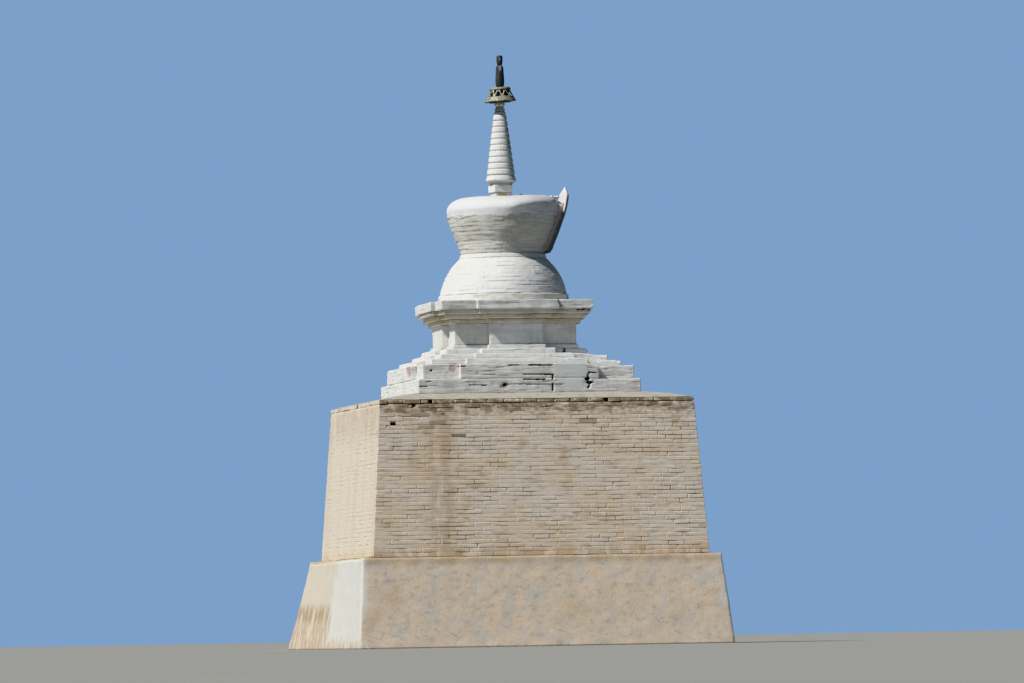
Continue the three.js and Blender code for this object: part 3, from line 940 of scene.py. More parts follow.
OCHRE_LIME = Limewash(
    "ochre_lime", Slot.STAINED, white=(0.60, 0.50, 0.27), shade=(0.55, 0.49, 0.36), worn=0.6, streaks=0.3
)
GREENED_LIME = Limewash(
    "greened_lime", Slot.STAINED, white=(0.46, 0.48, 0.42), shade=(0.26, 0.30, 0.24), worn=0.8, streaks=0.6
)
BEAD_WHITE = Limewash("bead_white", white=(0.88, 0.88, 0.87), shade=(0.80, 0.80, 0.79), streaks=0.0, lee_shade=0.0)
PIER_BRICK = PierBrick()
FOOT_PLASTER = FootPlaster()
MORTAR = Mortar()
KHAKI_METAL = OldMetal(
    "khaki_metal", Slot.SHEET, (0.31, 0.305, 0.225), (0.45, 0.43, 0.35), (0.12, 0.13, 0.09)
)
BLACK_METAL = OldMetal(
    "black_metal", Slot.DARK, paint=(0.078, 0.108, 0.102), faded=(0.11, 0.095, 0.085),
    stain=(0.024, 0.028, 0.038), ground=(0.34, 0.30, 0.31), worn_from=0.66,
)


def settled(points: Array) -> Array:
    """How far the tiers have sunk towards their +Y end: nothing at the pier or at the waist."""
    level = np.interp(points[..., 2], SAG_HEIGHTS, (0, 1, 1, 0))
    uneven = 1 + 0.45 * rough(points * [1, 1, 0], 0.13, 221)
    return SAG * level * smoothstep(points[..., 1], *SAG_RUN) * uneven


class Workshop:
    """Turns finished surfaces into pieces of the scene, each with its finish, and hides the CAD nodes that
    they stand for.
    """

    def __init__(self) -> None:
        """Start with no finish made."""
        self.materials: dict[str, bpy.types.Material] = {}

    def add(self, name: str, surface: Surface, finish: Finish, *nodes: str, smooth: bool = True) -> None:
        """Add one piece to the scene.

        Args:
            name: Name of the piece.
            surface: Its surface, in metres, in place.
            finish: Its finish, one of the finish classes above.
            *nodes: The CAD nodes that it stands for.
            smooth: Whether its faces are shaded as one curved skin.
        """
        if finish.name not in self.materials:
            self.materials[finish.name] = finish.material()
        piece = bpy.data.objects.new(name, surface.mesh(name, smooth))
        piece.data.materials.append(self.materials[finish.name])
        bpy.context.scene.collection.objects.link(piece)
        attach(piece, BODY)
        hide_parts(*nodes)
        triangles = 2 * len(surface.quads) + len(surface.triangles)
        log.info("%-24s %7d triangles, for %s", name, triangles, ", ".join(nodes))


@dataclass
class SteppedCourse:
    """A course or block with a square plan, mostly with a shallow projection on each side.

    The half size of the square is corner, that of the cross is projection, and width is half the
    breadth of the projection. The heights and the outermost size come from the CAD node. The +X face
    lies back by setback between the projection and the +Y corner.
    """

    node: str
    corner: float
    width: float = 0.0
    coursing: Coursing = Coursing()
    finish: Limewash = LIMEWASH
    flaws: tuple[Flaw, ...] = ()
    axis: float = BODY_AXIS
    reach: float = 0.17
    spacing: float = 0.016
    row_step: float = 0.008
    edge: float = 0.008
    turn: float = 0.0
    setback: float = 0.0

    def corners(self, inset: Array, projection: float) -> Array:
        """Corners of the outline of each row, drawn in by that row's inset.

        Args:
            inset: How far each row is drawn in.
            projection: Half size of the cross.

        Returns:
            Rows, corners and x, y, anticlockwise.
        """
        c, w, p = self.corner - inset, self.width - inset, projection - inset
        side = [(c, -c)] if self.width == 0 else [(c, -c), (c, -w), (p, -w), (p, w), (c, w)]
        x, y = np.array(side).transpose(1, 2, 0)
        outline = np.concatenate([(x, y), (-y, x), (-x, -y), (y, -x)], axis=-1).transpose(1, 2, 0)
        outline[:, 4:6, 0] -= self.setback
        return outline

    def build(self, workshop: Workshop) -> None:
        """Carry the outline up through the rows of the section and carve the weather into it."""
        low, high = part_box(self.node)
        section = Section.course(low.z, high.z, self.reach, self.edge, self.row_step)
        corners = self.corners(section.inset, high.x)
        flat, along, outward = walk_outline(corners, self.spacing, self.edge)
        rows = raised(flat, section.height)
        to_edge = np.minimum(section.height - low.z, high.z - section.height)
        edge = np.broadcast_to(np.exp(-to_edge / 0.012)[:, None], flat.shape[:2])
        fields = self.coursing.carve(rows, along, low.z, edge, section.outward[:, None] ** 2)
        apply_flaws(rows, outward, self.flaws, fields)
        move = fields.pop("move")
        rows[..., :2] += (move * section.outward[:, None])[..., None] * outward
        rows[..., 2] += np.clip(move, -0.004, 0.004) * section.upward[:, None] * 0.6
        cosine, sine = math.cos(self.turn), math.sin(self.turn)
        rows[..., :2] = rows[..., :2] @ np.array([[cosine, sine], [-sine, cosine]])
        rows[..., 1] += self.axis
        rows[..., 2] -= settled(rows)
        workshop.add(f"{self.node}_masonry", closed_skin(rows, fields), self.finish, self.node)


@dataclass
class Turned:
    """A round piece: a profile of radius and height pairs, turned about its axis."""

    node: str
    profile: Profile
    coursing: Coursing
    finish: Finish = LIMEWASH
    axis: float = BODY_AXIS
    around: int = 340
    step: float = 0.0075
    flaws: tuple[Flaw, ...] = ()

    def rows(self) -> tuple[Array, Array]:
        """The profile at even steps.

        Returns:
            Radius and height pairs, and the outward direction of each as radius and height parts.
        """
        corners = np.array(self.profile)
        length = np.hypot(*np.diff(corners, axis=0).T)
        travelled = np.concatenate([[0.0], np.cumsum(length)])
        places = np.linspace(0, travelled[-1], max(4, round(travelled[-1] / self.step)))
        clear = np.abs(places[:, None] - travelled[None]).min(axis=1) > 0.4 * self.step
        places = np.sort(np.concatenate([places[clear], travelled]))
        line = joined(*(np.interp(places, travelled, corners[:, k]) for k in (0, 1)))
        facing = np.gradient(line, axis=0)[:, ::-1] * [1, -1]
        return line, facing / np.hypot(facing[:, 0], facing[:, 1])[:, None]

    def surface(self) -> Surface:
        """Turn the profile about the axis and carve the weather into it."""
        line, facing = self.rows()
        radial, angle = circle(self.around), turns(self.around)
        rows = raised(line[:, None, :1] * radial, line[:, 1])
        edge, upright = np.zeros(rows.shape[:2]), np.clip(facing[:, :1], 0, 1)
        along = angle * line[:, 0].max()
        fields = self.coursing.carve(rows, along, line[:, 1].min(), edge, upright)
        apply_flaws(rows, radial, self.flaws, fields)
        self.shape(rows, fields, angle)
        move = fields.pop("move")
        rows[..., :2] += (move * facing[:, :1])[..., None] * radial
        rows[..., 2] += move * facing[:, 1:] * 0.7
        rows[..., 1] += self.axis
        return closed_skin(rows, fields)

    def shape(self, rows: Array, fields: dict[str, Array], angle: Array) -> None:
        """Change the rows or the fields of a piece that isn't plainly round; a plain one stays.

        Args:
            rows: Places on the piece, still about the origin, changed in place.
            fields: The carved moves and marks, changed in place.
            angle: Angle of each column.
        """

    def build(self, workshop: Workshop) -> None:
        """Add the piece to the scene."""
        workshop.add(f"{self.node}_round", self.surface(), self.finish, self.node)


@dataclass
class Bowl(Turned):
    """The flaring bowl, whose courses each stand out over the one below."""

    bricks: int = 20
    overhang: float = 0.0035
    unevenness: float = 0.0025
    set_in: float = 0.003

    def shape(self, rows: Array, fields: dict[str, Array], angle: Array) -> None:
        """Give each course its step: outward by a saw tooth that falls from its lower edge up.

        Its joint mark is dark in the gaps under the steps, and it carries painted shade under the cap, at the
        foot towards +Y and low on the side away from the sun.
        """
        height, foot, head = rows[..., 2], rows[0, 0, 2], rows[-1, 0, 2]
        level = (height - foot + 0.008 * noise(rows, (0.13, 0.13, 0.05), 31)) / BOWL_COURSE
        course = np.floor(level)
        tooth = 1 - (level - course)
        place = np.floor(angle / (2 * math.pi) * self.bricks + 0.5 * (course % 2))
        brick = self.unevenness * lattice_of(course, place, 33)
        step = self.overhang * (1 + 0.7 * noise(rows, (0.10, 0.10, 0.05), 39))
        fields["move"] = fields["move"] + step * (tooth - 0.5) + brick - self.set_in
        gap = smoothstep(tooth, 0.78, 1.0) * smoothstep(noise(rows, (0.085, 0.085, 0.04), 35), -0.1, 0.4)
        gap = gap * smoothstep(height, foot + 0.012, foot + 0.03)
        # Painted shadow under the overhanging cap.
        under = smoothstep(height, head - 0.055, head - 0.02)
        under = under * smoothstep(noise(rows, (0.07, 0.07, 0.05), 37), 0.15, 0.5)
        # Painted shadow at the foot on the +Y side, where the bowl overhangs the neck ring.
        low = 1 - smoothstep(height, foot + 0.004, foot + 0.035)
        low = low * smoothstep(np.sin(angle), 0.05, 0.35)
        # Painted shade low on the side away from the sun, next to the niche.
        lee_shade = 1 - smoothstep(height, foot + 0.03, foot + 0.22)
        lee_shade = lee_shade * smoothstep(np.sin(angle), 0.45, 0.9)
        marks = [fields["joint"], 0.55 * gap, 0.45 * under, 0.60 * low, 0.35 * lee_shade]
        fields["joint"] = np.maximum.reduce(marks)


@dataclass
class Cap(Turned):
    """The plaster cap, squarer behind the niche, whose lower edge runs down over the bowl unevenly."""

    flat: float = 0.480
    widest: float = 0.739
    level: float = 5.750
    hem: Profile = ((0.66, 0.0), (0.731, 0.0), (0.736, 0.008), (0.738, 0.026))
    bulge: float = 0.028
    rise: float = 0.082
    crown: float = 0.012

    def side(self, low: float, high: float) -> Profile:
        """The hem over the bowl, then a quarter ellipse to the flat top."""
        angle = np.linspace(0, math.pi / 2, 24)
        radius = self.flat + (self.widest - self.flat) * np.cos(angle)
        shoulder = zip(radius, self.level + (high - self.level) * np.sin(angle))
        return (*lifted(self.hem, low), *shoulder, (0.12, high))

    def shape(self, rows: Array, fields: dict[str, Array], angle: Array) -> None:
        """Square the shoulder on the +Y side, and let the lowest part drop by noise round the rim.

        A point of the shoulder at the share u of the way out from the flat top moves to u^(1 - 0.55 n),
        where n is 1 behind the niche. Its widest part lies higher and stands out more on the +X side.
        The hanging edge follows the flare of the bowl below.
        """
        radius = np.hypot(rows[..., 0], rows[..., 1])
        share = np.clip((radius - self.flat) / (self.widest - self.flat), 0, 1)
        power = 1 - 0.55 * smoothstep(np.sin(angle), 0.55, 0.92)
        squared = self.flat + (self.widest - self.flat) * share**power
        on_shoulder = (share > 0) & (rows[..., 2] > self.level)
        rows[..., :2] *= np.where(on_shoulder, squared / radius, 1.0)[..., None]
        low, high = rows[0, 0, 2], rows[-1, 0, 2]
        turned = (angle + math.pi) % (2 * math.pi) - math.pi
        bulge = self.bulge * smoothstep(turned, -0.30, 0.12) * (1 - smoothstep(turned, 0.9, 1.3))
        share = np.interp(rows[..., 2], (low + 0.02, self.level, high), (0, 1, 0))
        radius = np.hypot(rows[..., 0], rows[..., 1])
        rows[..., :2] *= (1 + bulge * share / radius)[..., None]
        rows[..., 2] += self.rise * smoothstep(np.cos(angle - 1.15), 0.05, 0.92) * share
        top = smoothstep(rows[..., 2], self.level, high) * smoothstep(rows[..., 1], -0.05, 0.25)
        rows[..., 2] += self.crown * top
        ring = joined(np.cos(angle), np.sin(angle), 0)
        run = 0.004 + 0.040 * smoothstep(rough(ring, 0.22, 41), -0.7, 0.9)
        run = run + 0.022 * smoothstep(-ring[:, 1], -0.6, 0.9)
        hang = np.clip(1 - (rows[..., 2] - low) / 0.07, 0, 1) * run
        rows[..., 2] -= hang
        rows[..., :2] *= (1 - 0.26 * hang / np.hypot(rows[..., 0], rows[..., 1]))[..., None]


def ellipse(radius: float, height: float, centre: float, bottom: float, top: float) -> Profile:
    """The side of a dome, from the ellipse r = R cos a, z = centre + H sin a.

    Args:
        radius: R, its half breadth.
        height: H, its half height.
        centre: Height of its middle.
        bottom: Height where the side begins.
        top: Height where it ends.

    Returns:
        Radius and height pairs.
    """
    angle = np.linspace(math.asin((bottom - centre) / height), math.asin((top - centre) / height), 40)
    return tuple(zip(radius * np.cos(angle), centre + height * np.sin(angle)))


@dataclass
class Bricks:
    """A batch of bricks with worn edges.

    Each row of a laid course is one brick: its wall, its place along the wall, its height, its three
    half sizes, how far it stands out, how worn it is and how sooty it is.
    """

    laid: list[Array] = field(default_factory=list)

    @staticmethod
    def template() -> tuple[Array, Array, Array, Array]:
        """A box with bevelled edges: three points at each corner, each full out along one axis.

        Returns:
            The sign of each point, a flag for each axis along which it is drawn in by the bevel, and
            the quads and triangles, outward once the wall's axes are applied.
        """
        points = np.repeat(np.array(list(np.ndindex(2, 2, 2))) * 2 - 1, 3, axis=0)
        flags = 1 - np.tile(np.eye(3, dtype=int), (8, 1))
        stride = (12, 6, 3)
        quads, triangles = [], np.arange(24).reshape(8, 3)
        for axis, end in np.ndindex(3, 2):
            p, q = (axis + 1) % 3, (axis + 2) % 3
            first = end * stride[axis] + axis
            quads.append([first, first + stride[p], first + stride[p] + stride[q], first + stride[q]])
            for side in (0, 1):
                low = end * stride[p] + side * stride[q]
                high = low + stride[axis]
                quads.append([low + p, high + p, high + q, low + q])
        outer = points * (1 - 0.2 * flags)
        faces = []
        for group in (np.array(quads), triangles):
            a, b, c = outer[group[:, 0]], outer[group[:, 1]], outer[group[:, 2]]
            outside = (np.cross(b - a, c - a) * outer[group].mean(axis=1)).sum(axis=1) > 0
            faces.append(np.where(outside[:, None], group[:, ::-1], group))
        return points, flags, *faces

    def surface(self, half_at: HalfSizes, seed: int) -> Surface:
        """Set every brick on its wall.

        A point of a brick lies at its place along the wall, at its depth from the battered face at
        its own height, and is moved by noise, so that no brick is quite true.

        Args:
            half_at: Gives the half sizes along X and Y at an array of heights.
            seed: Which noise.

        Returns:
            The surface of all the bricks, with a tone for each.
        """
        points, flags, quads, triangles = self.template()
        laid = np.concatenate(self.laid)
        wall, along, height, _, depth, _, push, worn, soot = laid.T[..., None]
        local = points * (laid[:, None, 3:6] - flags * (0.0025 + 0.007 * worn[..., None]))
        along, height = along + local[..., 0], height + local[..., 2]
        wander = joined(along, wall, 0.2 * height)
        height = height + 0.0035 * noise(wander, 0.45, seed + 11)
        half_x, half_y = half_at(height)
        out = np.where(wall % 2 == 0, half_x, half_y) + push - depth + local[..., 1]
        wall = wall.astype(int)
        x = np.choose(wall, [out, -along, -out, along])
        y = np.choose(wall, [along, out, -along, -out])
        places = joined(x, y, height)
        shaken = joined(*(noise(places, 0.06, seed + k) for k in range(3)))
        places = places + shaken * (0.0012 + 0.006 * worn)[..., None]
        number = np.arange(len(laid))
        shift = (number * len(points))[:, None, None]
        tone = 0.5 + 0.5 * lattice_of(number, 0, seed + 5)
        return Surface(
            places.reshape(-1, 3),
            (quads + shift).reshape(-1, 4),
            (triangles + shift).reshape(-1, 3),
            {"tone": np.repeat(tone, len(points)), "joint": np.repeat(soot, len(points))},
        )


@dataclass
class Pier:
    """The battered brick shaft with its rough top course and the worn course on its ledge.

    Each hole is the face that it lies on, its place along that face, its height and its width. Each
    sooty spot on the bare faces is its two ends along the face and its two heights.
    """

    bottom_half: tuple[float, float] = (2.124, 2.214)
    top_half: tuple[float, float] = (1.974, 2.076)
    brick: float = 0.215
    joint: float = 0.009
    upright_joint: float = 0.005
    depth: float = 0.105
    shortest: float = 0.025
    unevenness: float = 0.0018
    worn_back: float = 0.024
    worn_low: float = 0.005
    worn_short: float = 0.010
    loose_joint: float = 0.0045
    core_back: float = 0.0030
    wash_out: float = 0.016
    top_wear: float = 0.8
    ledge_wear: float = 0.9
    ledge_back: float = 0.045
    single_core_back: float = 0.03
    holes: tuple[tuple[Face, float, float, float], ...] = (
        (Face.BARE, -1.902, 2.889, 0.075),
        (Face.WASHED, 1.93, 2.763, 0.05),
        (Face.WASHED, -1.22, 3.182, 0.05),
        (Face.WASHED, 0.19, 3.182, 0.05),
        (Face.BARE, -1.62, 3.127, 0.04),
        (Face.BARE, -1.40, 3.182, 0.05),
        (Face.BARE, 0.92, 3.182, 0.05),
    )
    hole_depth: float = 0.09
    sooty: tuple[tuple[float, float, float, float], ...] = (
        (-1.52, -1.31, 2.82, 2.92),
        (-1.54, -1.22, 2.98, 3.08),
        (-1.15, -0.95, 2.73, 2.79),
        (0.62, 0.84, 2.86, 2.95),
    )

    def half_at(self, height: Array) -> tuple[Array, Array]:
        """Half sizes of the battered shaft at each height, on a straight line from foot to head."""
        low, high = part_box("pier_shaft")
        share = (height - low.z) / (high.z - low.z)
        return tuple(b + (t - b) * share for b, t in zip(self.bottom_half, self.top_half))

    def cut_holes(self, first: Array, last: Array, wall: int, middle: float) -> tuple[Array, Array]:
        """Shorten or part the bricks of one course where a hole lies.

        Args:
            first: Where each brick begins along the wall.
            last: Where each brick ends.
            wall: Number of the wall, 0 facing +X and then anticlockwise.
            middle: Height of the middle of the course.

        Returns:
            The same two for what is left.
        """
        face = Face.WASHED if wall % 2 else Face.BARE
        for hole_face, along, height, width in self.holes:
            if hole_face is not face or abs(height - middle) > COURSE / 2:
                continue
            low, high = along - width / 2, along + width / 2
            cut = (first < high) & (last > low)
            after = np.maximum(first[cut], high), last[cut]
            last = np.where(cut, np.minimum(last, low), last)
            first, last = np.concatenate([first, after[0]]), np.concatenate([last, after[1]])
            left = last - first > self.shortest
            first, last = first[left], last[left]
        return first, last

    def lay(self, bricks: Bricks, low: float, high: float, half: tuple[float, float], wear: float) -> None:
        """Lay one course round the pier, with its corners bonded over those of the course below.

        Args:
            bricks: Batch that the course goes into.
            low: Height of its underside.
            high: Height of its top.
            half: Half sizes of the pier here.
            wear: How worn it is, from 0 to 1.
        """
        number, middle = round(low / COURSE), 0.5 * (low + high)
        for wall in range(4):
            washed = wall % 2
            run = half[(wall + 1) % 2]
            start = -run + (self.depth if (number + wall) % 2 else 0.0)
            end = run - (self.depth if (number + wall) % 2 else 0.0)
            count = max(1, round((end - start) / self.brick))
            pitch = (end - start) / count
            gap = self.upright_joint * (0.2 if washed else 0.7)
            first = start + pitch * np.arange(count) + gap / 2
            first, last = self.cut_holes(first, first + pitch - gap, wall, middle)
            centre = (first + last) / 2
            chance = lattice_of(np.round(first * 40), number * 4 + wall, 51)
            lost = wear * (0.5 + 0.5 * chance)
            loose = 0.0 if washed else self.loose_joint * smoothstep(chance, -0.2, 0.6)
            soot = (0.15 if washed else 0.5) * wear * smoothstep(-chance, -0.2, 0.9)
            for left, right, below, above in () if washed else self.sooty:
                inside = (centre > left) & (centre < right) & (below < middle < above)
                soot = np.where(inside, 0.72 + 0.06 * chance, soot)
            length = (last - first) / 2 - self.worn_short * lost - loose
            rise = (high - low - self.joint) / 2 - self.worn_low * lost
            push = self.unevenness * chance - self.worn_back * lost
            worn = np.clip(0.2 + 0.25 * chance + lost, 0, 1)
            depth = self.depth / 2
            bricks.laid.append(joined(wall, centre, middle, length, depth, rise, push, worn, soot))

    def core(self, low: float, high: float, half_at: HalfSizes, recess: float, wear: float) -> Surface:
        """The mortar behind the bricks: a tapering block, washed out here and there along its joints.

        Args:
            low: Height of its underside.
            high: Height of its top.
            half_at: Gives the half sizes along X and Y at an array of heights.
            recess: How far it lies back behind the bricks on the bare faces; a third on the washed ones.
            wear: How much deeper it is washed out, from 0 to 1.

        Returns:
            Its surface, pushed in further behind a hole.
        """
        heights = np.linspace(low + 0.002, high - 0.002, max(3, round((high - low) / (COURSE / 2)) + 1))
        half_x, half_y = half_at(heights)
        flat, _, outward = walk_outline(rectangle(half_x - recess, half_y - recess / 3), 0.075, 0.01)
        rows = raised(flat, heights)
        deep = np.zeros(flat.shape[:2])
        for face, along, height, width in self.holes:
            facing, running, way = (0, 1, 1) if face is Face.BARE else (1, 0, -1)
            place = rows[..., running] * np.sign(rows[..., facing]) * way
            near = (np.abs(place - along) < 0.5 * width + 0.01) & (np.abs(outward[:, facing]) > 0.7)
            deep = np.maximum(deep, near & (np.abs(rows[..., 2] - height) < 0.5 * COURSE))
        bare = np.abs(outward[:, 0]) > 0.7
        open_joint = smoothstep(rough(rows, (0.17, 0.17, 0.05), 61), 0.05, 0.60) * (0.3 + 0.7 * bare)
        old = smoothstep(rows[..., 2], 2.5, 3.2) * 0.6 + wear
        open_joint = np.clip(open_joint * (1 + old) + 0.25 * old * bare, 0, 1)
        move = 0.002 * rough(rows, 0.09, 63) - self.wash_out * open_joint - self.hole_depth * deep
        rows[..., :2] += move[..., None] * outward
        joint = np.maximum(0.08 + 0.62 * open_joint, deep)
        return closed_skin(rows, {"joint": joint, "tone": deep * 0 + 0.4})

    def build(self, workshop: Workshop) -> None:
        """Add the shaft, its top course and its ledge course to the scene."""
        low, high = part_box("pier_shaft")
        edges = np.linspace(low.z, high.z, round((high.z - low.z) / COURSE) + 1)
        shaft = Bricks()
        for bottom, top in zip(edges[:-1], edges[1:]):
            middle = (bottom + top) / 2
            wear = 0.06 + 0.6 * smoothstep(middle, high.z - 0.30, high.z)
            self.lay(shaft, bottom, top, self.half_at(middle), wear)
        bricks = shaft.surface(self.half_at, 3)
        workshop.add("pier_shaft_bricks", bricks, PIER_BRICK, "pier_shaft", smooth=False)
        core = self.core(low.z, high.z, self.half_at, self.core_back, 0.0)
        workshop.add("pier_shaft_mortar", core, PIER_BRICK, "pier_shaft")
        self.single_course(workshop, "pier_top_course", 0.0, self.top_wear, 83)
        self.single_course(workshop, "pier_ledge_course", self.ledge_back, self.ledge_wear, 89)

    def single_course(self, workshop: Workshop, node: str, back: float, wear: float, seed: int) -> None:
        """Add one course that stands by itself, with the mortar behind it.

        Args:
            workshop: Where the piece is made.
            node: The CAD node of the course.
            back: How far its bricks have weathered back.
            wear: How worn it is, from 0 to 1.
            seed: Which noise.
        """
        low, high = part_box(node)

        def level(heights: Array) -> tuple[Array, Array]:
            """The same half sizes at every height."""
            return heights * 0 + high.x - back, heights * 0 + high.y - back

        course = Bricks()
        self.lay(course, low.z, high.z, (high.x - back, high.y - back), wear)
        core = self.core(low.z, high.z, level, self.single_core_back, wear)
        surface = course.surface(level, seed) + core
        workshop.add(f"{node}_bricks", surface, PIER_BRICK, node, smooth=False)


@dataclass
class PierFoot:
    """The flared foot in rough plaster, more spread at its -X side, lapping over the ledge course."""

    top_half: tuple[float, float] = (2.187, 2.371)
    near_half: float = 2.466
    round_corner: float = 0.025
    spacing: float = 0.028
    lap: float = 0.052
    rows_up: int = 50
    swell: float = 0.008
    pit_depth: float = 0.006
    chip_depth: float = 0.014

    def lift(self, rows: Array, outward: Array) -> Array:
        """How far the plaster's upper edge stands above the foot.

        It laps over the whole ledge course, but on the -Y face it rises from almost nothing at the -X
        end, along a ragged line.
        """
        share = np.clip((rows[..., 0] + self.top_half[0]) / (2 * self.top_half[0]), 0, 1)
        low = 0.006 + 0.036 * share**0.8 + 0.012 * rough(rows * [1, 1, 0], 0.10, 98)
        even = self.lap + 0.003 * rough(rows * [1, 1, 0], 0.2, 99)
        return np.where(outward[:, 1] < -0.7, np.clip(low, 0.0, self.lap), even)

    def build(self, workshop: Workshop) -> None:
        """Add the foot to the scene."""
        low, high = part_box("pier_foot")
        share = np.concatenate([[0, 0, 0], np.linspace(0, 1, self.rows_up), [1, 1, 1]])
        inset = np.concatenate([[1.2, 0.4, 0.02], np.zeros(self.rows_up), [0.012, 0.1, 0.3]])
        on_face = np.concatenate([[0, 0, 1], np.ones(self.rows_up), [1, 0, 0]])[:, None]
        sizes = ((high.x, self.top_half[0]), (high.y, self.top_half[1]), (self.near_half, self.top_half[1]))
        x, far, near = (foot + (head - foot) * share - inset for foot, head in sizes)
        outline = rectangle(x, near)
        outline[:, 2:, 1] *= (far / near)[:, None]
        flat, _, outward = walk_outline(outline, self.spacing, self.round_corner)
        rows = raised(flat, low.z + (high.z - low.z) * share)
        move = self.swell * rough(rows, 0.45, 93) + 0.004 * rough(rows, (0.10, 0.10, 0.8), 91)
        move = move + 0.004 * rough(rows, 0.09, 95)
        pits = smoothstep(noise(rows, 0.045, 97), 0.62, 0.9) * smoothstep(noise(rows, 0.5, 96), 0.0, 0.5)
        chipped = smoothstep(share, 0.965, 1.0)[:, None] * smoothstep(noise(rows, 0.10, 94), -0.1, 0.6)
        move = (move - self.pit_depth * pits - self.chip_depth * chipped) * on_face
        rows[..., 2] += smoothstep(share, 0.93, 1.0)[:, None] * self.lift(rows, outward)
        rows[..., :2] += move[..., None] * outward
        # Chips along the top edge are carved in, and also marked dark as painted shadow under the ledge
        # course.
        marks = {"joint": np.maximum(0.35 * pits, 0.30 * chipped) * on_face}
        workshop.add("pier_foot_plaster", closed_skin(rows, marks), FOOT_PLASTER, "pier_foot")


@dataclass
class MortarBed:
    """The sloping bed of mortar between the pier and the lowest tier."""

    lower: tuple[float, float] = (1.950, 2.052)
    upper: tuple[float, float] = (1.500, 1.500)
    swell: float = 0.022
    lumps: float = 0.020
    grain: float = 0.010
    ripple: float = 0.008

    def build(self, workshop: Workshop) -> None:
        """Add the bed to the scene."""
        low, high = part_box("mortar_fillet")
        share = np.concatenate([[0, 0], np.linspace(0, 1, 24), [1, 1]])
        inset = np.concatenate([[0.3, 0.05], np.zeros(24), [0.05, 0.2]])
        x, y = (a + (b - a) * share - inset for a, b in zip(self.lower, self.upper))
        flat, _, outward = walk_outline(rectangle(x, y), 0.030, 0.03)
        crown = self.swell * np.sin(math.pi * np.clip(share, 0, 1)) ** 0.7
        rows = raised(flat, low.z + (high.z - low.z) * share + crown * 0.6)
        move = self.lumps * rough(rows, 0.25, 101) + self.grain * rough(rows, 0.06, 103)
        move = move * (1 - share[:, None])
        rows[..., :2] += move[..., None] * outward
        rows[..., 2] += np.where(share[:, None] > 0, self.ripple * rough(rows, 0.12, 105), 0)
        rows[..., 2] = np.maximum(rows[..., 2], low.z)
        workshop.add("mortar_bed", closed_skin(rows), MORTAR, "mortar_fillet")


